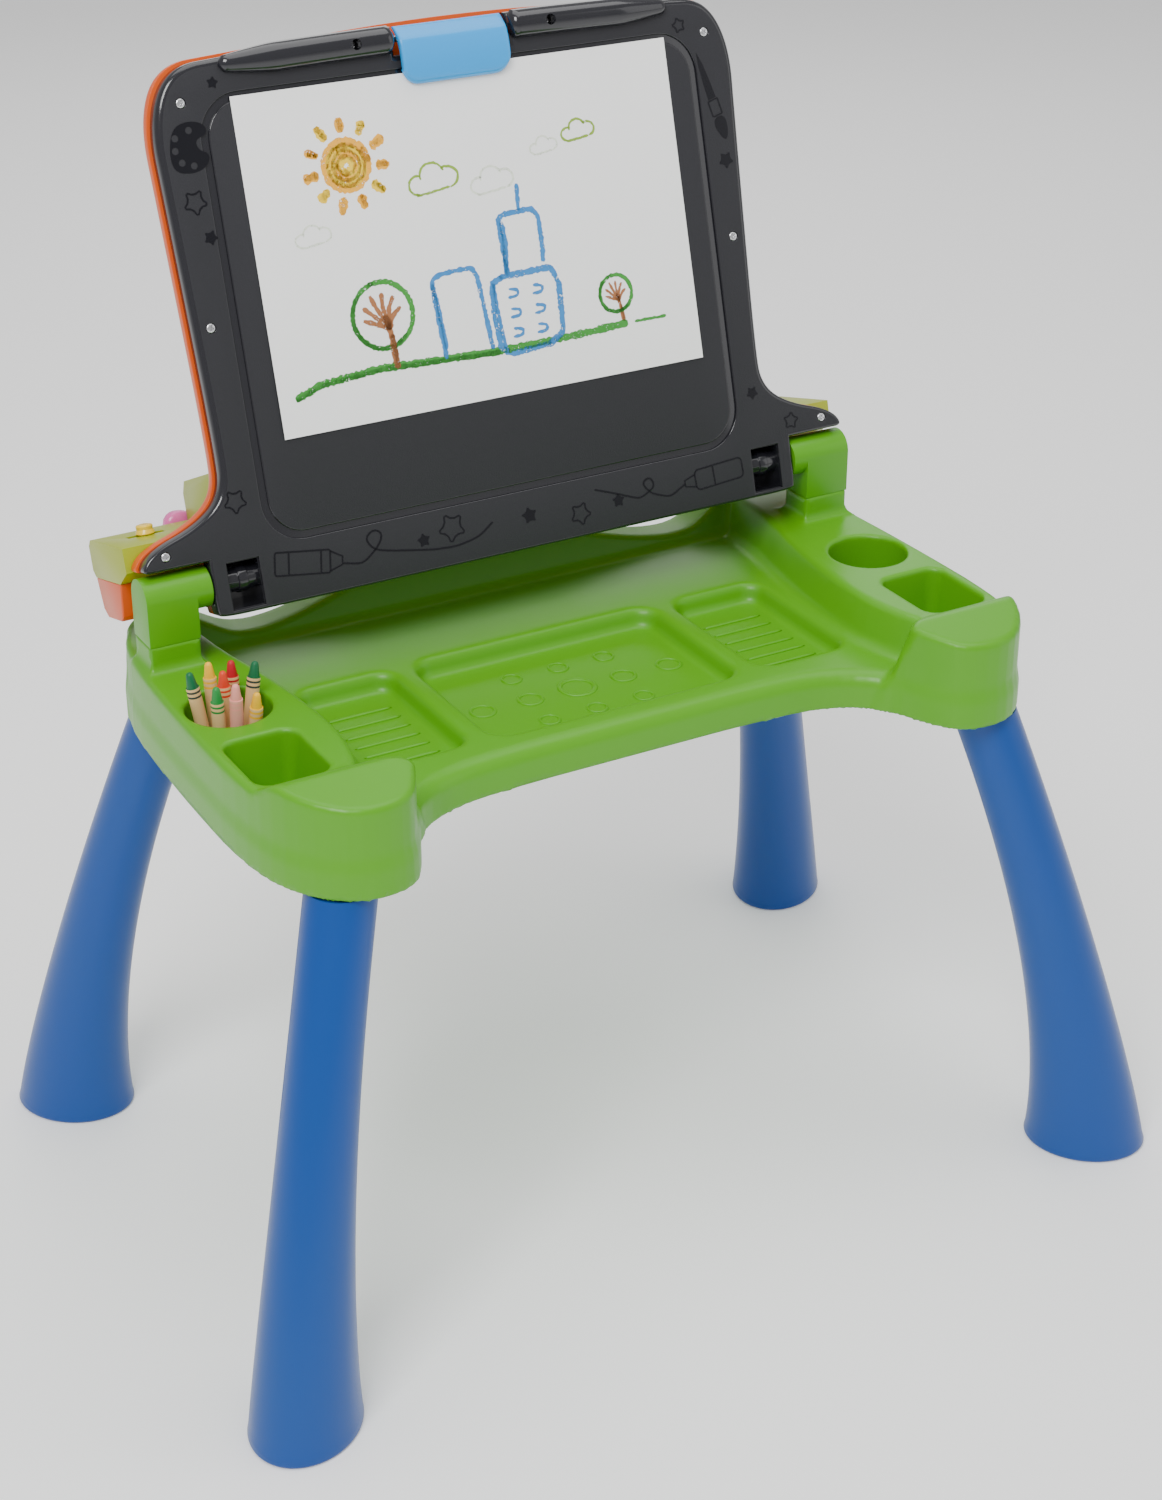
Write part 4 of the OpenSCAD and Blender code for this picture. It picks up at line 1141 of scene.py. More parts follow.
def turned(points, x, v, degrees):
    c, d = math.cos(math.radians(degrees)), math.sin(math.radians(degrees))
    return [(x + px * c - pv * d, v + px * d + pv * c) for px, pv in points]


# %% The inlays
BOARD_Y = -11
bm = bmesh.new()
for x, v, r in ((-155, 286, 4), (-171, 200, 5), (-66, 0, 5), (8, 1, 6), (72, -2, 5), (180, 48, 5), (181, 197, 6)):
    patch(bm, star(x, v, r, turn=x), BOARD_Y)
for x, v, r in ((-177, 221, 8), (-183, 47, 8), (-46, 4, 10), (44, -5, 8), (207, 25, 6), (158, 283, 5)):
    strip(bm, star(x, v, r, turn=x), 1.1, BOARD_Y, closed=True)

palette_shape = cut_corners([(-13, -3), (-11, -13), (0, -15), (9, -12), (12, -5), (5, -2), (4, 4), (12, 6), (11, 12),
                             (2, 15), (-9, 12)], 3)
palette_shape = [(x - 175, v + 252) for x, v in palette_shape]
wells = [circle(-175 + x, 252 + v, 2.1, 16) for x, v in ((-8, 6), (-9, -1), (-6, -8), (1, -10.5), (1, 9.5))]
patch(bm, palette_shape, BOARD_Y, holes=wells)

crayon_line = rect(-22, 14, -7, 7, 1.5)
nose = [(14, -6), (22, -2.5), (22, 2.5), (14, 6)]
strip(bm, turned(crayon_line, -143, 2, -8), 1.1, BOARD_Y, closed=True)
strip(bm, turned(nose, -143, 2, -8), 1.1, BOARD_Y)
for place in (-13, 8):
    strip(bm, turned([(place, -6.5), (place, 6.5)], -143, 2, -8), 1.1, BOARD_Y)
loop = [(-121, -3), (-108, -6), (-96, 3), (-92, 10), (-98, 14), (-105, 9), (-100, 1), (-88, -2), (-60, -7), (-44, -8),
        (-28, -5), (-18, 2)]
strip(bm, along(loop, 60), 1.2, BOARD_Y)

marker = rect(-18, 18, -6.5, 6.5, 3)
strip(bm, turned(marker, 148, 1, 4), 1.1, BOARD_Y, closed=True)
strip(bm, turned([(-18, -4), (-26, -2), (-26, 2), (-18, 4)], 148, 1, 4), 1.1, BOARD_Y)
strip(bm, turned([(-4, -6), (-4, 6)], 148, 1, 4), 1.1, BOARD_Y)
loop = [(122, -1), (110, -7), (96, -2), (90, 6), (97, 9), (100, 2), (88, -4), (70, 3), (56, 8)]
strip(bm, along(loop, 50), 1.2, BOARD_Y)

brush = [(0, 30), (1.6, 22), (2.6, 8), (2.8, 0), (-2.8, 0), (-2.6, 8), (-1.6, 22)]
patch(bm, turned(brush, 176, 236, 15), BOARD_Y)
strip(bm, turned(rect(-3.6, 3.6, -11, -1, 0.8), 176, 236, 15), 1.0, BOARD_Y, closed=True)
patch(bm, turned(cut_corners([(-4, -12), (4, -12), (4.4, -20), (0, -29), (-4.4, -20)], 2), 176, 236, 15), BOARD_Y)
inlays = to_mesh(bm, "inlaid_pictures")
keep("inlaid_pictures", inlays, "board_frame", INK_BLACK, replace=False, smooth=False)
print("inlay faces:", len(inlays.polygons))

# %% [markdown]
# ## The polished bar and the clip
# A half-round bar runs along the top of the board and thins out towards the corners, so it is a stack of half
# circles whose radius follows its length. The clip is one springy plate: its section changes across the width only
# near the ends, where the lower corners are rounded, so it is a row of closed sections as well.

# %% Bar, clip and screws


def lid_skin(sections, name):
    return skin([[lid_point(*p) for p in section] for section in sections], name)


def bar(side):
    sections = []
    for i in range(40):
        t = i / 39
        x = 39 + t * 111
        r = 8.5 - 4.2 * max(0.0, (t - 0.68) / 0.32) ** 1.3
        r *= math.sqrt(min(1.0, t * 30 + 0.35))
        if t > 0.97:
            r *= math.sqrt(max(0.05, 1 - ((t - 0.97) / 0.03) ** 2))
        v = 296.2 + 0.6 * math.cos(t * 3)
        section = [(side * x, -11.0 - 0.92 * r * math.sin(a), v + r * math.cos(a))
                   for a in (math.pi * j / 20 for j in range(21))]
        section += [(side * x, -10.6, v - r), (side * x, -10.6, v + r)]
        sections.append(section)
    return sections


bm = bmesh.new()
for side in (-1, 1):
    half = bmesh.new()
    half.from_mesh(lid_skin(bar(side), "half_bar"))
    part = bpy.data.meshes.new("part")
    half.to_mesh(part)
    half.free()
    bm.from_mesh(part)
top_bar = to_mesh(bm, "polished_bar")
drill = bmesh.new()
for side in (-1, 1):
    well = lathe([(0, -12 * MM), (3.2 * MM, -12 * MM), (3.2 * MM, 12 * MM), (0, 12 * MM)], 32)
    well.transform(LID @ Matrix.Translation((side * 65 * MM, -15 * MM, (LID_H - 10.5) * MM))
                   @ Matrix.Rotation(math.radians(90), 4, "X"))
    drill.from_mesh(well)
drill_object = placed("drill", to_mesh(drill, "drill"))
bar_object = placed("bar", top_bar)
cut = bar_object.modifiers.new("wells", "BOOLEAN")
cut.operation = "DIFFERENCE"
cut.object = drill_object
top_bar = baked(bar_object, "polished_bar")
bpy.data.objects.remove(drill_object)
sharpen(top_bar, 50)
keep("polished_bar", top_bar, "top_bar", GLOSS_BLACK, smooth=False)

clip_low, clip_high = lid_box("clip_jaw")
PLATE_V0, PLATE_V1 = clip_low[2], clip_high[2] - 0.3
CLIP_TOP = PLATE_V1 - 10


def clip_section(x):
    edge = max(0.0, abs(x) - 34.2) / 1.8
    round_off = 1.6 * (1 - math.sqrt(max(0.0, 1 - edge * edge)))
    corner = max(0.0, abs(x) - 25.5) / 10.6
    low = PLATE_V0 + 10.6 * (1 - math.sqrt(max(0.0, 1 - corner * corner)))
    front, back_side = [], []
    for i in range(33):
        t = i / 32
        v = low + (PLATE_V1 - low) * t
        lip = max(0.0, 1 - (v - low) / 3.0)
        bulge = 2.2 * math.sin(math.pi * min(1.0, (v - PLATE_V0) / 30)) ** 0.8
        top = max(0.0, (v - CLIP_TOP) / (PLATE_V1 - CLIP_TOP))
        y = -15.4 - bulge + 2.2 * lip ** 2 + 6.4 * top ** 1.9 + round_off
        front.append((x, y, v))
        inner = -12.9 + 5.0 * max(0.0, (v - NOTCH_V - 2) / 18) - 0.4 * round_off
        back_side.append((x, min(-2.4, max(inner, y + 1.2)), v - 0.4 * top))
    return front + back_side[::-1]


stations = [-36.0, -35.9, -35.6, -35.1, -34.4, -33, -31, -29, -27, -24]
stations += [-16, -8, 0, 8, 16] + [-x for x in stations[::-1]]
clip = lid_skin([clip_section(x) for x in stations], "clip_plate")
sharpen(clip, 60)
keep("clip_plate", clip, "clip_jaw", SKY, smooth=False)
refinish("clip_pin", DRAWN)
refinish("clip_spring", DRAWN)


def screw_head(radius, name):
    """A pan head with a cross recess, facing +Z."""
    bm = bmesh.new()
    arms = []
    wide, reach = radius * 0.14, radius * 0.62
    for i in range(4):
        c, d = math.cos(math.pi / 2 * i), math.sin(math.pi / 2 * i)
        for px, py in ((reach, -wide), (reach, wide), (wide, wide)):
            arms.append((px * c - py * d, px * d + py * c))
    outer = [[(radius * k * math.cos(a), radius * k * math.sin(a), radius * z) for a in full_turn(36)]
             for k, z in ((1, 0), (1, 0.2), (0.9, 0.36), (0.72, 0.45))]
    rings = [[bm.verts.new(p) for p in ring] for ring in outer]
    for low, high in zip(rings, rings[1:]):
        stitch(bm, low, high)
    bm.faces.new(rings[0][::-1])
    rim = [bm.verts.new((x, y, radius * 0.46)) for x, y in arms]
    floor_ring = [bm.verts.new((x * 0.8, y * 0.8, radius * 0.12)) for x, y in arms]
    for i in range(12):
        bm.faces.new((rim[(i + 1) % 12], rim[i], floor_ring[i], floor_ring[(i + 1) % 12]))
    bm.faces.new(floor_ring)
    top = rings[-1] + rim
    spots = [Vector((v.co.x, v.co.y)) for v in top]
    edges = [(i, (i + 1) % 36) for i in range(36)] + [(36 + i, 36 + (i + 1) % 12) for i in range(12)]
    result = delaunay_2d_cdt(spots, edges, [], 0, 1e-9)
    arm_outline = np.array(arms)
    for face in result[2]:
        where = [result[3][i][0] for i in face]
        mx, my = (sum(spots[i].x for i in where) / 3, sum(spots[i].y for i in where) / 3)
        if outline_distance(np.array(mx), np.array(my), arm_outline) > 0:
            bm.faces.new([top[i] for i in where])
    return to_mesh(bm, name)


towards_child = (-out_of_lid).to_track_quat("Z", "Y")
random.seed(5)
places = []
for x, v in SCREWS:
    spin = (towards_child @ Matrix.Rotation(random.uniform(0, 1.5), 4, "Z").to_quaternion()).to_euler()
    places.append((lid_point(x, -9.7, v), tuple(spin), (1, 1, 1)))
heads = copies("lid_screw_heads", screw_head(2.9 * MM, "head"), places, ZINC)
sharpen(heads, 40)
keep("lid_screw_heads", heads, "lid_screws", ZINC, smooth=False)
print("screw heads:", len(places))

# %% [markdown]
# ## Paper and wax crayon
# Wax only sticks to the high spots of paper, so a crayon line is broken by the paper's grain. The strokes are strips
# with wavy edges a hair above the sheet, and their material cuts holes in them with the same fine noise that the
# paper uses for its tooth. The sheet itself is very slightly bowed, because paper under a clip is never flat.

# %% Paper and wax materials


def paper_material():
    mat, tree, shader = blank_material("drawing_sheet")
    fibre = noise(tree, 1700.0, 4.0, 0.65)
    cloud = noise(tree, 25.0, 2.0)
    read_object_coords(tree, fibre, cloud)
    tint = mix_colour(tree, fibre.outputs["Fac"], (0.93, 0.93, 0.92, 1), (0.98, 0.98, 0.98, 1))
    tree.links.new(mix_colour(tree, remap(tree, cloud.outputs["Fac"], 0.3, 0.7, 0, 0.25), tint, (0.93, 0.93, 0.91, 1)),
                   shader.inputs["Base Color"])
    tree.links.new(bump(tree, fibre.outputs["Fac"], 0.25, 0.0001), shader.inputs["Normal"])
    shader.inputs["Roughness"].default_value = 0.92
    return mat


def wax_on_paper(name, colour):
    mat, tree, shader = blank_material(name)
    grain = noise(tree, 900.0, 4.0, 0.7)
    drag = noise(tree, 160.0, 3.0)
    read_object_coords(tree, grain, drag)
    both = math_node(tree, "ADD", grain.outputs["Fac"], math_node(tree, "MULTIPLY", drag.outputs["Fac"], 0.5))
    tree.links.new(remap(tree, both, 0.58, 0.66, 0.0, 1.0), shader.inputs["Alpha"])
    lighter = tuple(min(1.0, c * 1.25 + 0.05) for c in colour) + (1,)
    tree.links.new(mix_colour(tree, drag.outputs["Fac"], (*colour, 1), lighter), shader.inputs["Base Color"])
    shader.inputs["Roughness"].default_value = 0.5
    return mat


PAPER = paper_material()
WAX_LINES = [wax_on_paper("wax_green", (0.01, 0.22, 0.004)), wax_on_paper("wax_blue", (0.003, 0.17, 0.46)),
             wax_on_paper("wax_brown", (0.30, 0.10, 0.02)), wax_on_paper("wax_orange", (0.80, 0.36, 0.004)),
             wax_on_paper("wax_yellow", (0.84, 0.52, 0.005)), wax_on_paper("wax_olive", (0.20, 0.34, 0.01)),
             wax_on_paper("wax_pale", (0.66, 0.70, 0.60))]
GRASS, SKYLINE, BARK, AMBER, SUNNY, OLIVE, PALE = range(7)
WAX_SPREAD = 1.7

# %% The sheet and its drawing


def sheet_depth(x, v):
    """Depth of the sheet's face: nearly flat, with its free corners lifting a little."""
    edge = (abs(x) / (SHEET_W / 2)) ** 3
    low_edge = max(0.0, (SHEET_V1 - v) / SHEET_H)
    return -11.32 - 0.7 * edge * low_edge ** 2 - 0.25 * math.sin(x / 60) ** 2 * low_edge


bm = bmesh.new()
columns, rows = 60, 42
grid = []
for j in range(rows + 1):
    v = SHEET_V1 - SHEET_H + SHEET_H * j / rows
    line = []
    for i in range(columns + 1):
        x = -SHEET_W / 2 + SHEET_W * i / columns
        y = sheet_depth(x, v)
        line.append((bm.verts.new(lid_point(x, y, v)), bm.verts.new(lid_point(x, y + 0.18, v))))
    grid.append(line)
for j in range(rows):
    for i in range(columns):
        a, b, c, d = grid[j][i], grid[j][i + 1], grid[j + 1][i + 1], grid[j + 1][i]
        bm.faces.new((a[0], b[0], c[0], d[0]))
        bm.faces.new((a[1], d[1], c[1], b[1]))
        for p, q, on in ((a, b, j == 0), (c, d, j == rows - 1), (d, a, i == 0), (b, c, i == columns - 1)):
            if on:
                bm.faces.new((p[0], p[1], q[1], q[0]))
sheet = to_mesh(bm, "drawing_sheet")
sharpen(sheet, 40)
keep("drawing_sheet", sheet, "paper_sheet", PAPER, smooth=False)

random.seed(11)
strokes = bmesh.new()


def crayon_stroke(points, width, colour, lift=0.08, wobble=0.35):
    """A wavy strip of wax that follows the sheet's own bow."""
    points = np.asarray(points, float)
    length = np.linalg.norm(np.diff(points, axis=0), axis=1).sum()
    count = max(6, int(length / 1.3))
    path = along(points, count)
    path = path + np.array([[random.uniform(-wobble, wobble) for _ in range(2)] for _ in range(count)]) * 0.6
    widths = np.array([WAX_SPREAD * width * random.uniform(0.72, 1.2) for _ in range(count)])
    widths[0] *= 0.5
    widths[-1] *= 0.5
    ahead = np.gradient(path, axis=0)
    side = np.stack([-ahead[:, 1], ahead[:, 0]], 1) / np.linalg.norm(ahead, axis=1)[:, None]
    rows = []
    for (px, pv), (sx, sv), w in zip(path, side, widths):
        corners = []
        for sign in (1, -1):
            x, v = px + sign * sx * w / 2, pv + sign * sv * w / 2
            for d in (0.02, lift):
                corners.append(strokes.verts.new(lid_point(x, sheet_depth(x, v) - d, v)))
        rows.append([corners[0], corners[1], corners[3], corners[2]])
    for a, b in zip(rows, rows[1:]):
        stitch(strokes, a, b, colour)
    strokes.faces.new(rows[0][::-1]).material_index = colour
    strokes.faces.new(rows[-1]).material_index = colour


def ring_points(x, v, r, start=0, sweep=360, squash=1.0):
    return [(x + r * math.cos(math.radians(start + sweep * i / 28)), v + squash * r * math.sin(
        math.radians(start + sweep * i / 28))) for i in range(29)]


def tree_drawing(x, v, r, foot, width):
    crayon_stroke(ring_points(x, v, r, 100, 372), width, GRASS)
    crayon_stroke(ring_points(x - 0.6, v - 0.4, r * 0.97, 130, 190), width * 0.8, GRASS)
    base_x = x + r * 0.18
    crayon_stroke([(base_x + 1, foot), (base_x, v - r * 0.6), (x + r * 0.05, v)], r * 0.12, BARK)
    crayon_stroke([(base_x + 2, foot), (base_x + 0.6, v - r * 0.6)], r * 0.09, BARK)
    for lean, rise in ((-0.62, 0.30), (-0.35, 0.62), (0.05, 0.66), (0.42, 0.52), (0.62, 0.16), (-0.66, -0.08)):
        crayon_stroke([(base_x, v - r * 0.45), (x + lean * r * 0.5, v + (rise - 0.25) * r * 0.6),
                       (x + lean * r, v + rise * r)], r * 0.085, BARK, wobble=0.2)


def cloud_drawing(x, v, w, colour, width):
    puffs = ((-0.3, -0.06, 0.2, 70, 200), (-0.02, 0.10, 0.24, 10, 190), (0.28, 0.02, 0.22, -80, 200))
    for cx, cv, r, start, sweep in puffs:
        crayon_stroke(ring_points(x + cx * w, v + cv * w, r * w, start, sweep, 0.85), width, colour)
    crayon_stroke([(x - 0.36 * w, v - 0.24 * w), (x, v - 0.2 * w), (x + 0.3 * w, v - 0.16 * w)], width, colour)


for turn in range(4):
    crayon_stroke(ring_points(-80, 229, 14 - 3.2 * turn, 80 * turn, 400), 3.0, AMBER if turn % 2 == 0 else SUNNY)
for turn in range(3):
    crayon_stroke(ring_points(-80, 229, 12 - 3.2 * turn, 40 + 60 * turn, 360), 1.6, SUNNY)
for i in range(11):
    a = math.radians(92 + i * 360 / 11)
    near, far = 19.0, 27.5 + (i % 2) * 1.5
    ray = [(-80 + near * math.cos(a), 229 + near * math.sin(a)), (-80 + far * math.cos(a), 229 + far * math.sin(a))]
    crayon_stroke(ray, 3.4, SUNNY if i % 3 == 1 else AMBER)
    crayon_stroke([(x + 0.5, v + 0.4) for x, v in ray], 2.2, SUNNY if i % 3 == 1 else AMBER)
tree_drawing(-71, 139, 20, 106, 1.9)
tree_drawing(89, 127, 11.5, 109, 1.5)
ground = [(-135, 99), (-118, 105), (-78, 108), (-40, 106.5), (4, 105), (60, 106), (95, 107.5)]
crayon_stroke(ground, 2.8, GRASS)
crayon_stroke([(x, v - 0.8) for x, v in ground[:5]], 1.8, GRASS)
crayon_stroke([(100, 107.6), (123, 107.5)], 1.2, GRASS)
tower = [(-33, 106), (-35, 130), (-36, 154), (-30, 157), (-8, 158), (-5, 152), (-3, 130), (-1, 107)]
crayon_stroke(tower, 1.9, SKYLINE)
crayon_stroke([(-32, 112), (-34, 140), (-36, 152)], 1.7, SKYLINE)
block = [(10, 149), (46, 150), (50, 140), (49, 110), (40, 104), (12, 102), (5, 106), (3, 125), (4, 146), (12, 149)]
crayon_stroke(block, 2.4, SKYLINE)
crayon_stroke([(5, 146), (6, 124), (8, 106)], 1.6, SKYLINE)
crayon_stroke([(16, 149), (15, 168), (14, 184), (18, 186), (38, 187), (42, 182), (42, 160), (41, 154)], 2.1, SKYLINE)
crayon_stroke([(15, 150), (17, 170), (16, 182)], 2.2, SKYLINE)
crayon_stroke([(29, 187), (29.5, 194), (30, 203)], 1.7, SKYLINE)
for row in range(3):
    for x in (14, 31):
        v = 112 + row * 12
        crayon_stroke([(x, v), (x + 7, v), (x + 8, v + 4), (x + 1, v + 5)], 1.2, SKYLINE, wobble=0.2)
cloud_drawing(-25, 213, 34, OLIVE, 0.9)
cloud_drawing(77, 229, 24, OLIVE, 0.9)
cloud_drawing(14, 207, 30, PALE, 0.8)
cloud_drawing(52, 223, 20, PALE, 0.7)
cloud_drawing(-108, 191, 24, PALE, 0.7)
drawing = to_mesh(strokes, "crayon_drawing")
keep("crayon_drawing", drawing, "paper_sheet", WAX_LINES, replace=False, smooth=False)
print("drawing faces:", len(drawing.polygons))

# %% [markdown]
# ## Crayons
# A crayon is turned on a lathe: a wrapper of tan paper with printed bands, a shoulder of bare wax and a blunt nose.
# The bands and the wax are separate faces of one profile, so each simply gets its own material. Every crayon stands
# in the cup at its own lean, just where its plain solid stands in the model.

# %% Crayon materials and shapes


def wax(name, colour):
    return plastic(name, colour, rough=0.42, drift=0.12, grain=300.0, tooth=0.25, rubbed=0.5)


WRAPPER = plastic("tan_wrapper", (0.76, 0.50, 0.22), rough=0.75, drift=0.10, grain=900.0, tooth=0.35, rubbed=0.2)
WRAPPER_PINK = plastic("pink_wrapper", (0.80, 0.36, 0.27), rough=0.75, drift=0.10, grain=900.0, tooth=0.35, rubbed=0.2)
BAND_DARK = plastic("dark_band", (0.03, 0.05, 0.04), rough=0.7, tooth=0.2)
CUP_X_LEFT = -CUP_X
CRAYON_D = 8.0
CRAYON_LEN = 68.0


def crayon_mesh(spot, turn, tilt, worn):
    foot = CRAYON_D / 2 * math.sin(math.radians(tilt)) + 0.3
    long = CRAYON_LEN - worn
    r = CRAYON_D / 2
    body_top = long - 9
    profile = [(0, 0), (r - 1.0, 0), (r - 0.8, 0.6), (r - 0.8, 2.5), (r - 0.05, 2.6), (r, 3.2), (r, body_top - 14)]
    for below in (6.6, 5.3, 3.5, 2.2):
        profile.append((r, body_top - below))
    profile += [(r, body_top - 1.2), (r - 0.1, body_top - 0.6), (r - 0.7, body_top - 0.5), (r - 0.8, body_top + 0.8),
                (r - 1.2, body_top + 3), (r - 1.8, body_top + 7.2), (r - 2.4, body_top + 8.4),
                (r - 3.3, body_top + 8.9), (0, body_top + 9)]
    mesh = lathe([(a * MM, b * MM) for a, b in profile], 40)
    for face in mesh.polygons:
        z = face.center.z / MM
        if z > body_top - 0.58 or z < 2.55:
            face.material_index = 0
        elif body_top - 6.6 < z < body_top - 5.3 or body_top - 3.5 < z < body_top - 2.2:
            face.material_index = 2
        else:
            face.material_index = 1
    place = Matrix.Translation(((CUP_X_LEFT + spot[0]) * MM, (CUP_Y + spot[1]) * MM, (CUP_FLOOR + foot) * MM))
    mesh.transform(place @ Matrix.Rotation(math.radians(turn), 4, "Z") @ Matrix.Rotation(math.radians(tilt), 4, "Y"))
    return mesh


def crayons(node, colour, list_of_crayons, wrapper=WRAPPER, band=None):
    tip = wax(node + "_wax", colour)
    bm = bmesh.new()
    for values in list_of_crayons:
        bm.from_mesh(crayon_mesh(*values))
    mesh = to_mesh(bm, node + "_turned")
    sharpen(mesh, 35)
    keep(node + "_turned", mesh, node, [tip, wrapper, band or tip], smooth=False)


crayons("crayons_dark_green", (0.005, 0.13, 0.045), [((-9, 6), 160, 9, 0), ((9, 2), 15, 10, 0)], band=BAND_DARK)
crayons("crayons_yellow", (0.90, 0.50, 0.01), [((-2, 14), 110, 4, 1), ((9, -10), 300, 6, 10)])
crayons("crayon_green", (0.02, 0.25, 0.05), [((-8, -6), 230, 3, 4)])
crayons("crayon_orange_red", (0.70, 0.05, 0.015), [((-0.5, 2.5), 100, 1, 1)])
crayons("crayon_crimson", (0.48, 0.008, 0.02), [((9, 12.5), 80, 3, 2)])
crayons("crayon_pink", (0.86, 0.33, 0.27), [((0, -10), 280, 2, 3)], wrapper=WRAPPER_PINK)
print("crayons done")

# %% [markdown]
# ## The console behind the lid
# The console is a box of two shells with soft edges, a sloping top and holes for its keys. Its solids in the model
# are right, so they get rounded edges here; the keys, the handset and the slider knob are turned or lofted anew,
# because those are the pieces that fingers touch and their crowned faces catch the light.

# %% Console shells
softened("console_housing", LIME, 1.1, segments=3)
softened("console_base", ORANGE, 1.4, segments=3)
softened("battery_door", ORANGE, 0.5, segments=2)
softened("battery_case", DARK, 0.6, segments=2)
softened("page_frame", LIME, 1.2, segments=4)
refinish("batteries", BRASSY)
refinish("battery_door_screw", ZINC)
refinish("speaker", DARK)
refinish("circuit_board", BOARD_GREEN)


# %% Keys, knob and handset

def turned_on_lid(profile, x, v, axis="Y", y=0.0):
    """A lathe shape whose height runs out of the lid's back, or up the lid."""
    mesh = lathe([(a * MM, b * MM) for a, b in profile], 56)
    if axis == "Y":
        mesh.transform(LID @ Matrix.Translation((x * MM, 0, v * MM)) @ Matrix.Rotation(math.radians(-90), 4, "X"))
    else:
        mesh.transform(LID @ Matrix.Translation((x * MM, y * MM, 0)))
    return mesh


def key(node, x, material):
    low, high = lid_box(node)
    r, flange = 11.0, 12.4
    top, bottom = high[1], low[1]
    dome = [(r * math.cos(a), top - 1.5 + 1.5 * math.sin(a)) for a in (math.pi / 2 * i / 8 for i in range(8))]
    dish = [(r * 0.45, top - 0.02), (0, top - 0.25)]
    profile = [(0, bottom), (flange, bottom), (flange, bottom + 1.7), (r, bottom + 1.8), (r, top - 1.8)]
    profile += dome[1:-1] + dish
    mesh = turned_on_lid(profile, x, (low[2] + high[2]) / 2)
    sharpen(mesh, 35)
    keep(node + "_cap", mesh, node, material, smooth=False)


for node, x, material in (("button_red", 36, RED), ("button_yellow", 66, YELLOW), ("button_blue", 96, KEY_BLUE),
                          ("button_purple", 126, PURPLE)):
    key(node, x, material)

low, high = lid_box("power_slider")
slider_x, slider_y = (low[0] + high[0]) / 2, 46
knob = [(0, low[2]), (3.0, low[2]), (3.0, 29.8), (5.6, 30.3), (6.0, 30.9), (5.6, 32.2), (5.0, 33.4),
        (5.3, high[2] - 1.2), (4.6, high[2] - 0.3), (3.2, high[2]), (0, high[2] - 0.5)]
mesh = turned_on_lid(knob, slider_x, 0, axis="Z", y=slider_y)
sharpen(mesh, 35)
keep("slider_knob", mesh, "power_slider", YELLOW, smooth=False)

hand_low, hand_high = lid_box("handset")
hand_v = (hand_low[2] + hand_high[2]) / 2
sections = []
count = 49
for i in range(count):
    t = i / (count - 1)
    x = hand_low[0] + 0.3 + (hand_high[0] - hand_low[0] - 0.6) * t
    end = abs(2 * t - 1)
    cup = 1 / (1 + math.exp(-(end - 0.66) * 26))
    close = math.sqrt(max(0.0, 1 - max(0.0, (end - 0.8) / 0.2) ** 2.6))
    half_v = (7.2 + 4.6 * cup) * max(0.12, close)
    y_in = hand_low[1] + 5.6 - 5.5 * cup + 4 * (1 - close)
    y_out = hand_high[1] - 0.2 - 1.2 * cup - 2.4 * end ** 2 - 3.5 * (1 - close)
    mid, half_y = (y_in + y_out) / 2, (y_out - y_in) / 2
    section = []
    for a in full_turn(40):
        c, d = math.cos(a), math.sin(a)
        y = mid + half_y * math.copysign(abs(c) ** 0.55, c)
        section.append((x, y, hand_v + half_v * math.copysign(abs(d) ** 0.62, d)))
    sections.append(section)
handset = lid_skin(sections, "handset_moulding")
sharpen(handset, 60)
keep("handset_moulding", handset, "handset", PINK, smooth=False)
print("keys and handset done")

# %% Display window and its lamp panel


def window_material():
    mat, tree, shader = blank_material("clear_window")
    marks = place_group(tree, RUBBED, Amount=0.5, Scale=60.0)
    tree.links.new(remap(tree, marks.outputs["Mask"], 0, 1, 0.06, 0.35), shader.inputs["Roughness"])
    shader.inputs["Base Color"].default_value = (0.75, 0.85, 0.9, 1)
    shader.inputs["Transmission Weight"].default_value = 0.9
    shader.inputs["IOR"].default_value = 1.45
    shader.inputs["Specular IOR Level"].default_value = 0.42
    return mat


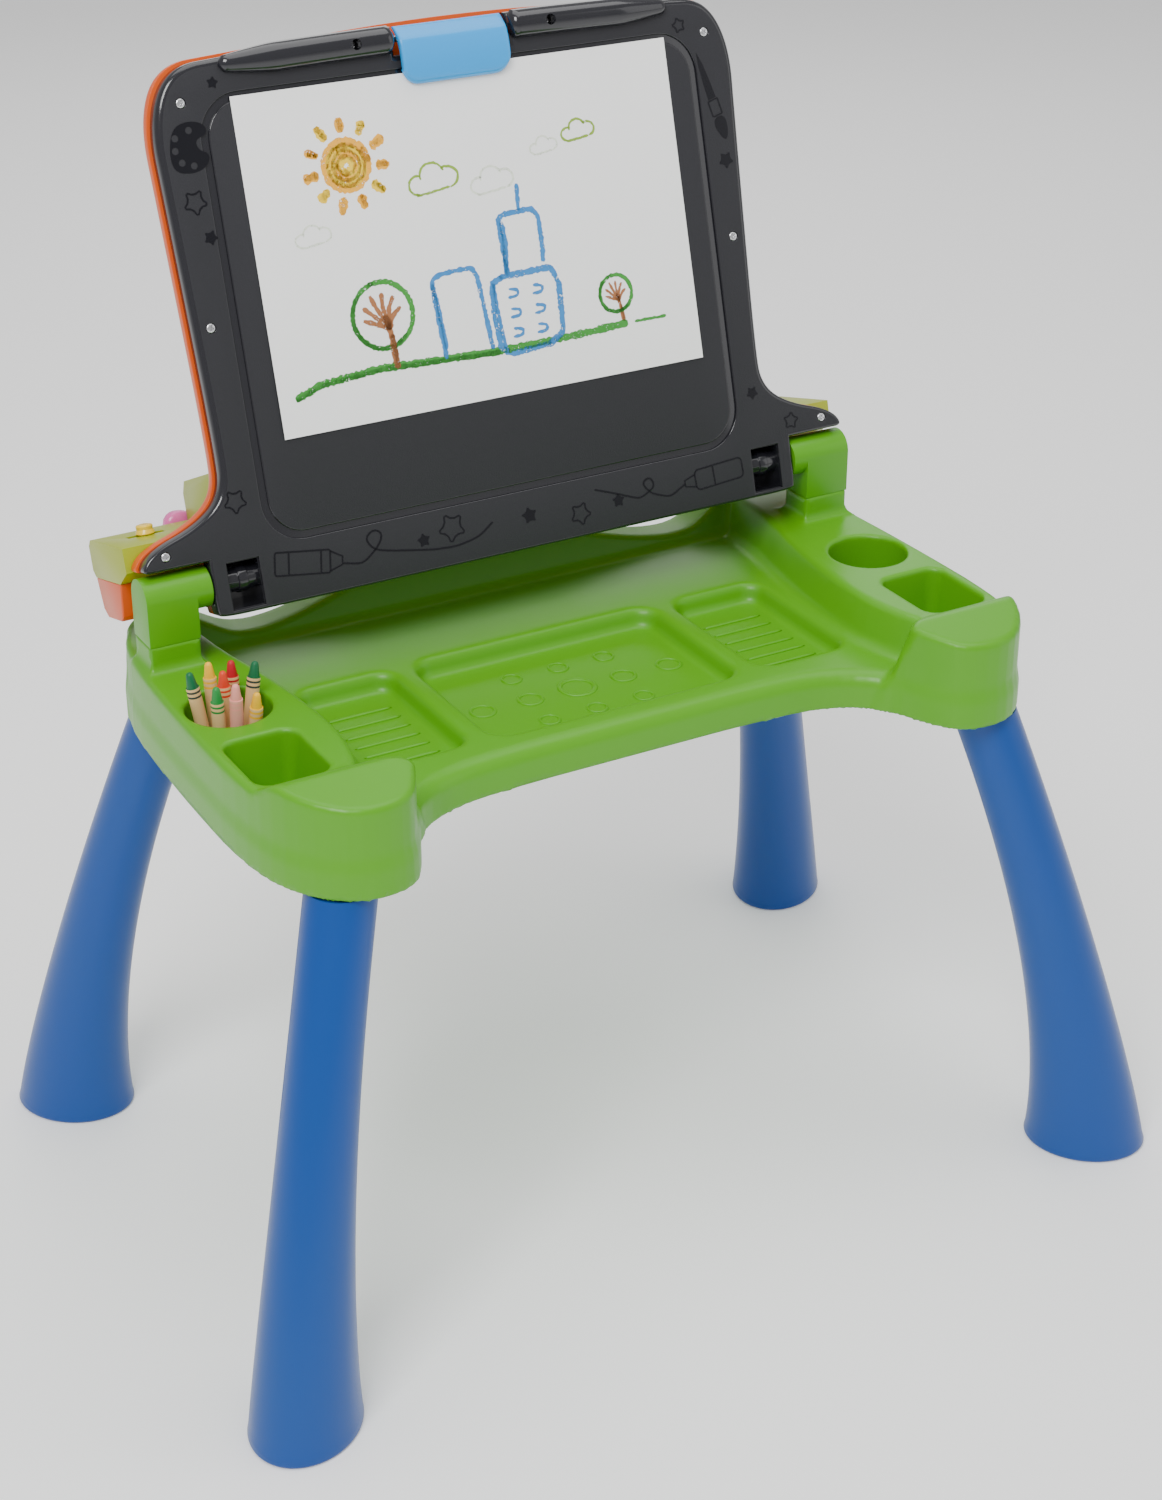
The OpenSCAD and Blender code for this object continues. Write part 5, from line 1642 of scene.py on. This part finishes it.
def lamp_panel_material():
    mat, tree, shader = blank_material("lamp_panel")
    mapping = tree.nodes.new("ShaderNodeMapping")
    mapping.inputs["Rotation"].default_value = (math.radians(15.5), 0, 0)
    read_object_coords(tree, mapping)
    cells = tree.nodes.new("ShaderNodeTexVoronoi")
    cells.inputs["Scale"].default_value = 330.0
    cells.inputs["Randomness"].default_value = 0.0
    tree.links.new(mapping.outputs["Vector"], cells.inputs["Vector"])
    dot = remap(tree, cells.outputs["Distance"], 0.34, 0.42, 1.0, 0.0)
    tree.links.new(mix_colour(tree, dot, (0.012, 0.014, 0.014, 1), (0.28, 0.05, 0.03, 1)), shader.inputs["Base Color"])
    tree.links.new(remap(tree, dot, 0, 1, 0.45, 0.2), shader.inputs["Roughness"])
    return mat


refinish("display_window", window_material())
refinish("display_panel", lamp_panel_material())

# %% [markdown]
# ## The page on the desk top
# With the lid down its back is the desk top, and a printed page lies in a frame there. The page is a plain generic
# game of coloured tiles with a simple shape on each. It is built like the inlays, from thin patches, on the lid's
# back instead of its front.

# %% Page and tiles


def page_material(name, colour):
    return plastic(name, colour, rough=0.5, drift=0.04, grain=1500.0, tooth=0.06, rubbed=0.15)


TILES = [page_material("print_" + label, colour) for label, colour in (
    ("cream", (0.90, 0.86, 0.72)), ("blue", (0.08, 0.35, 0.70)), ("red", (0.75, 0.09, 0.06)),
    ("yellow", (0.92, 0.62, 0.05)), ("green", (0.12, 0.48, 0.13)), ("violet", (0.33, 0.14, 0.5)))]
refinish("activity_page", TILES[0])
page_low, page_high = lid_box("activity_page")
bm = bmesh.new()
page_y = page_high[1]
across, down = 5, 3
wide = (page_high[0] - page_low[0] - 24) / across
tall = (page_high[2] - page_low[2] - 20) / down
for row in range(down):
    for column in range(across):
        x = page_low[0] + 12 + wide * (column + 0.5)
        v = page_low[2] + 10 + tall * (row + 0.5)
        paint = 1 + (column * 2 + row) % 5
        tile = rect(x - wide / 2 + 3, x + wide / 2 - 3, v - tall / 2 + 3, v + tall / 2 - 3, 6)
        patch(bm, tile, page_y + 0.07, lift=0.06, material=paint)
        shape = (row + column) % 3
        if shape == 0:
            patch(bm, star(x, v, 14), page_y + 0.14, lift=0.06, material=0)
        elif shape == 1:
            patch(bm, circle(x, v, 12, 40), page_y + 0.14, lift=0.06, holes=[circle(x, v, 6, 32)], material=0)
        else:
            corner = cut_corners([(x - 13, v - 10), (x + 13, v - 10), (x, v + 13)], 3)
            patch(bm, corner, page_y + 0.14, lift=0.06, material=0)
tiles = to_mesh(bm, "page_tiles")
keep("page_tiles", tiles, "activity_page", TILES, replace=False, smooth=False)
print("tiles:", across * down)
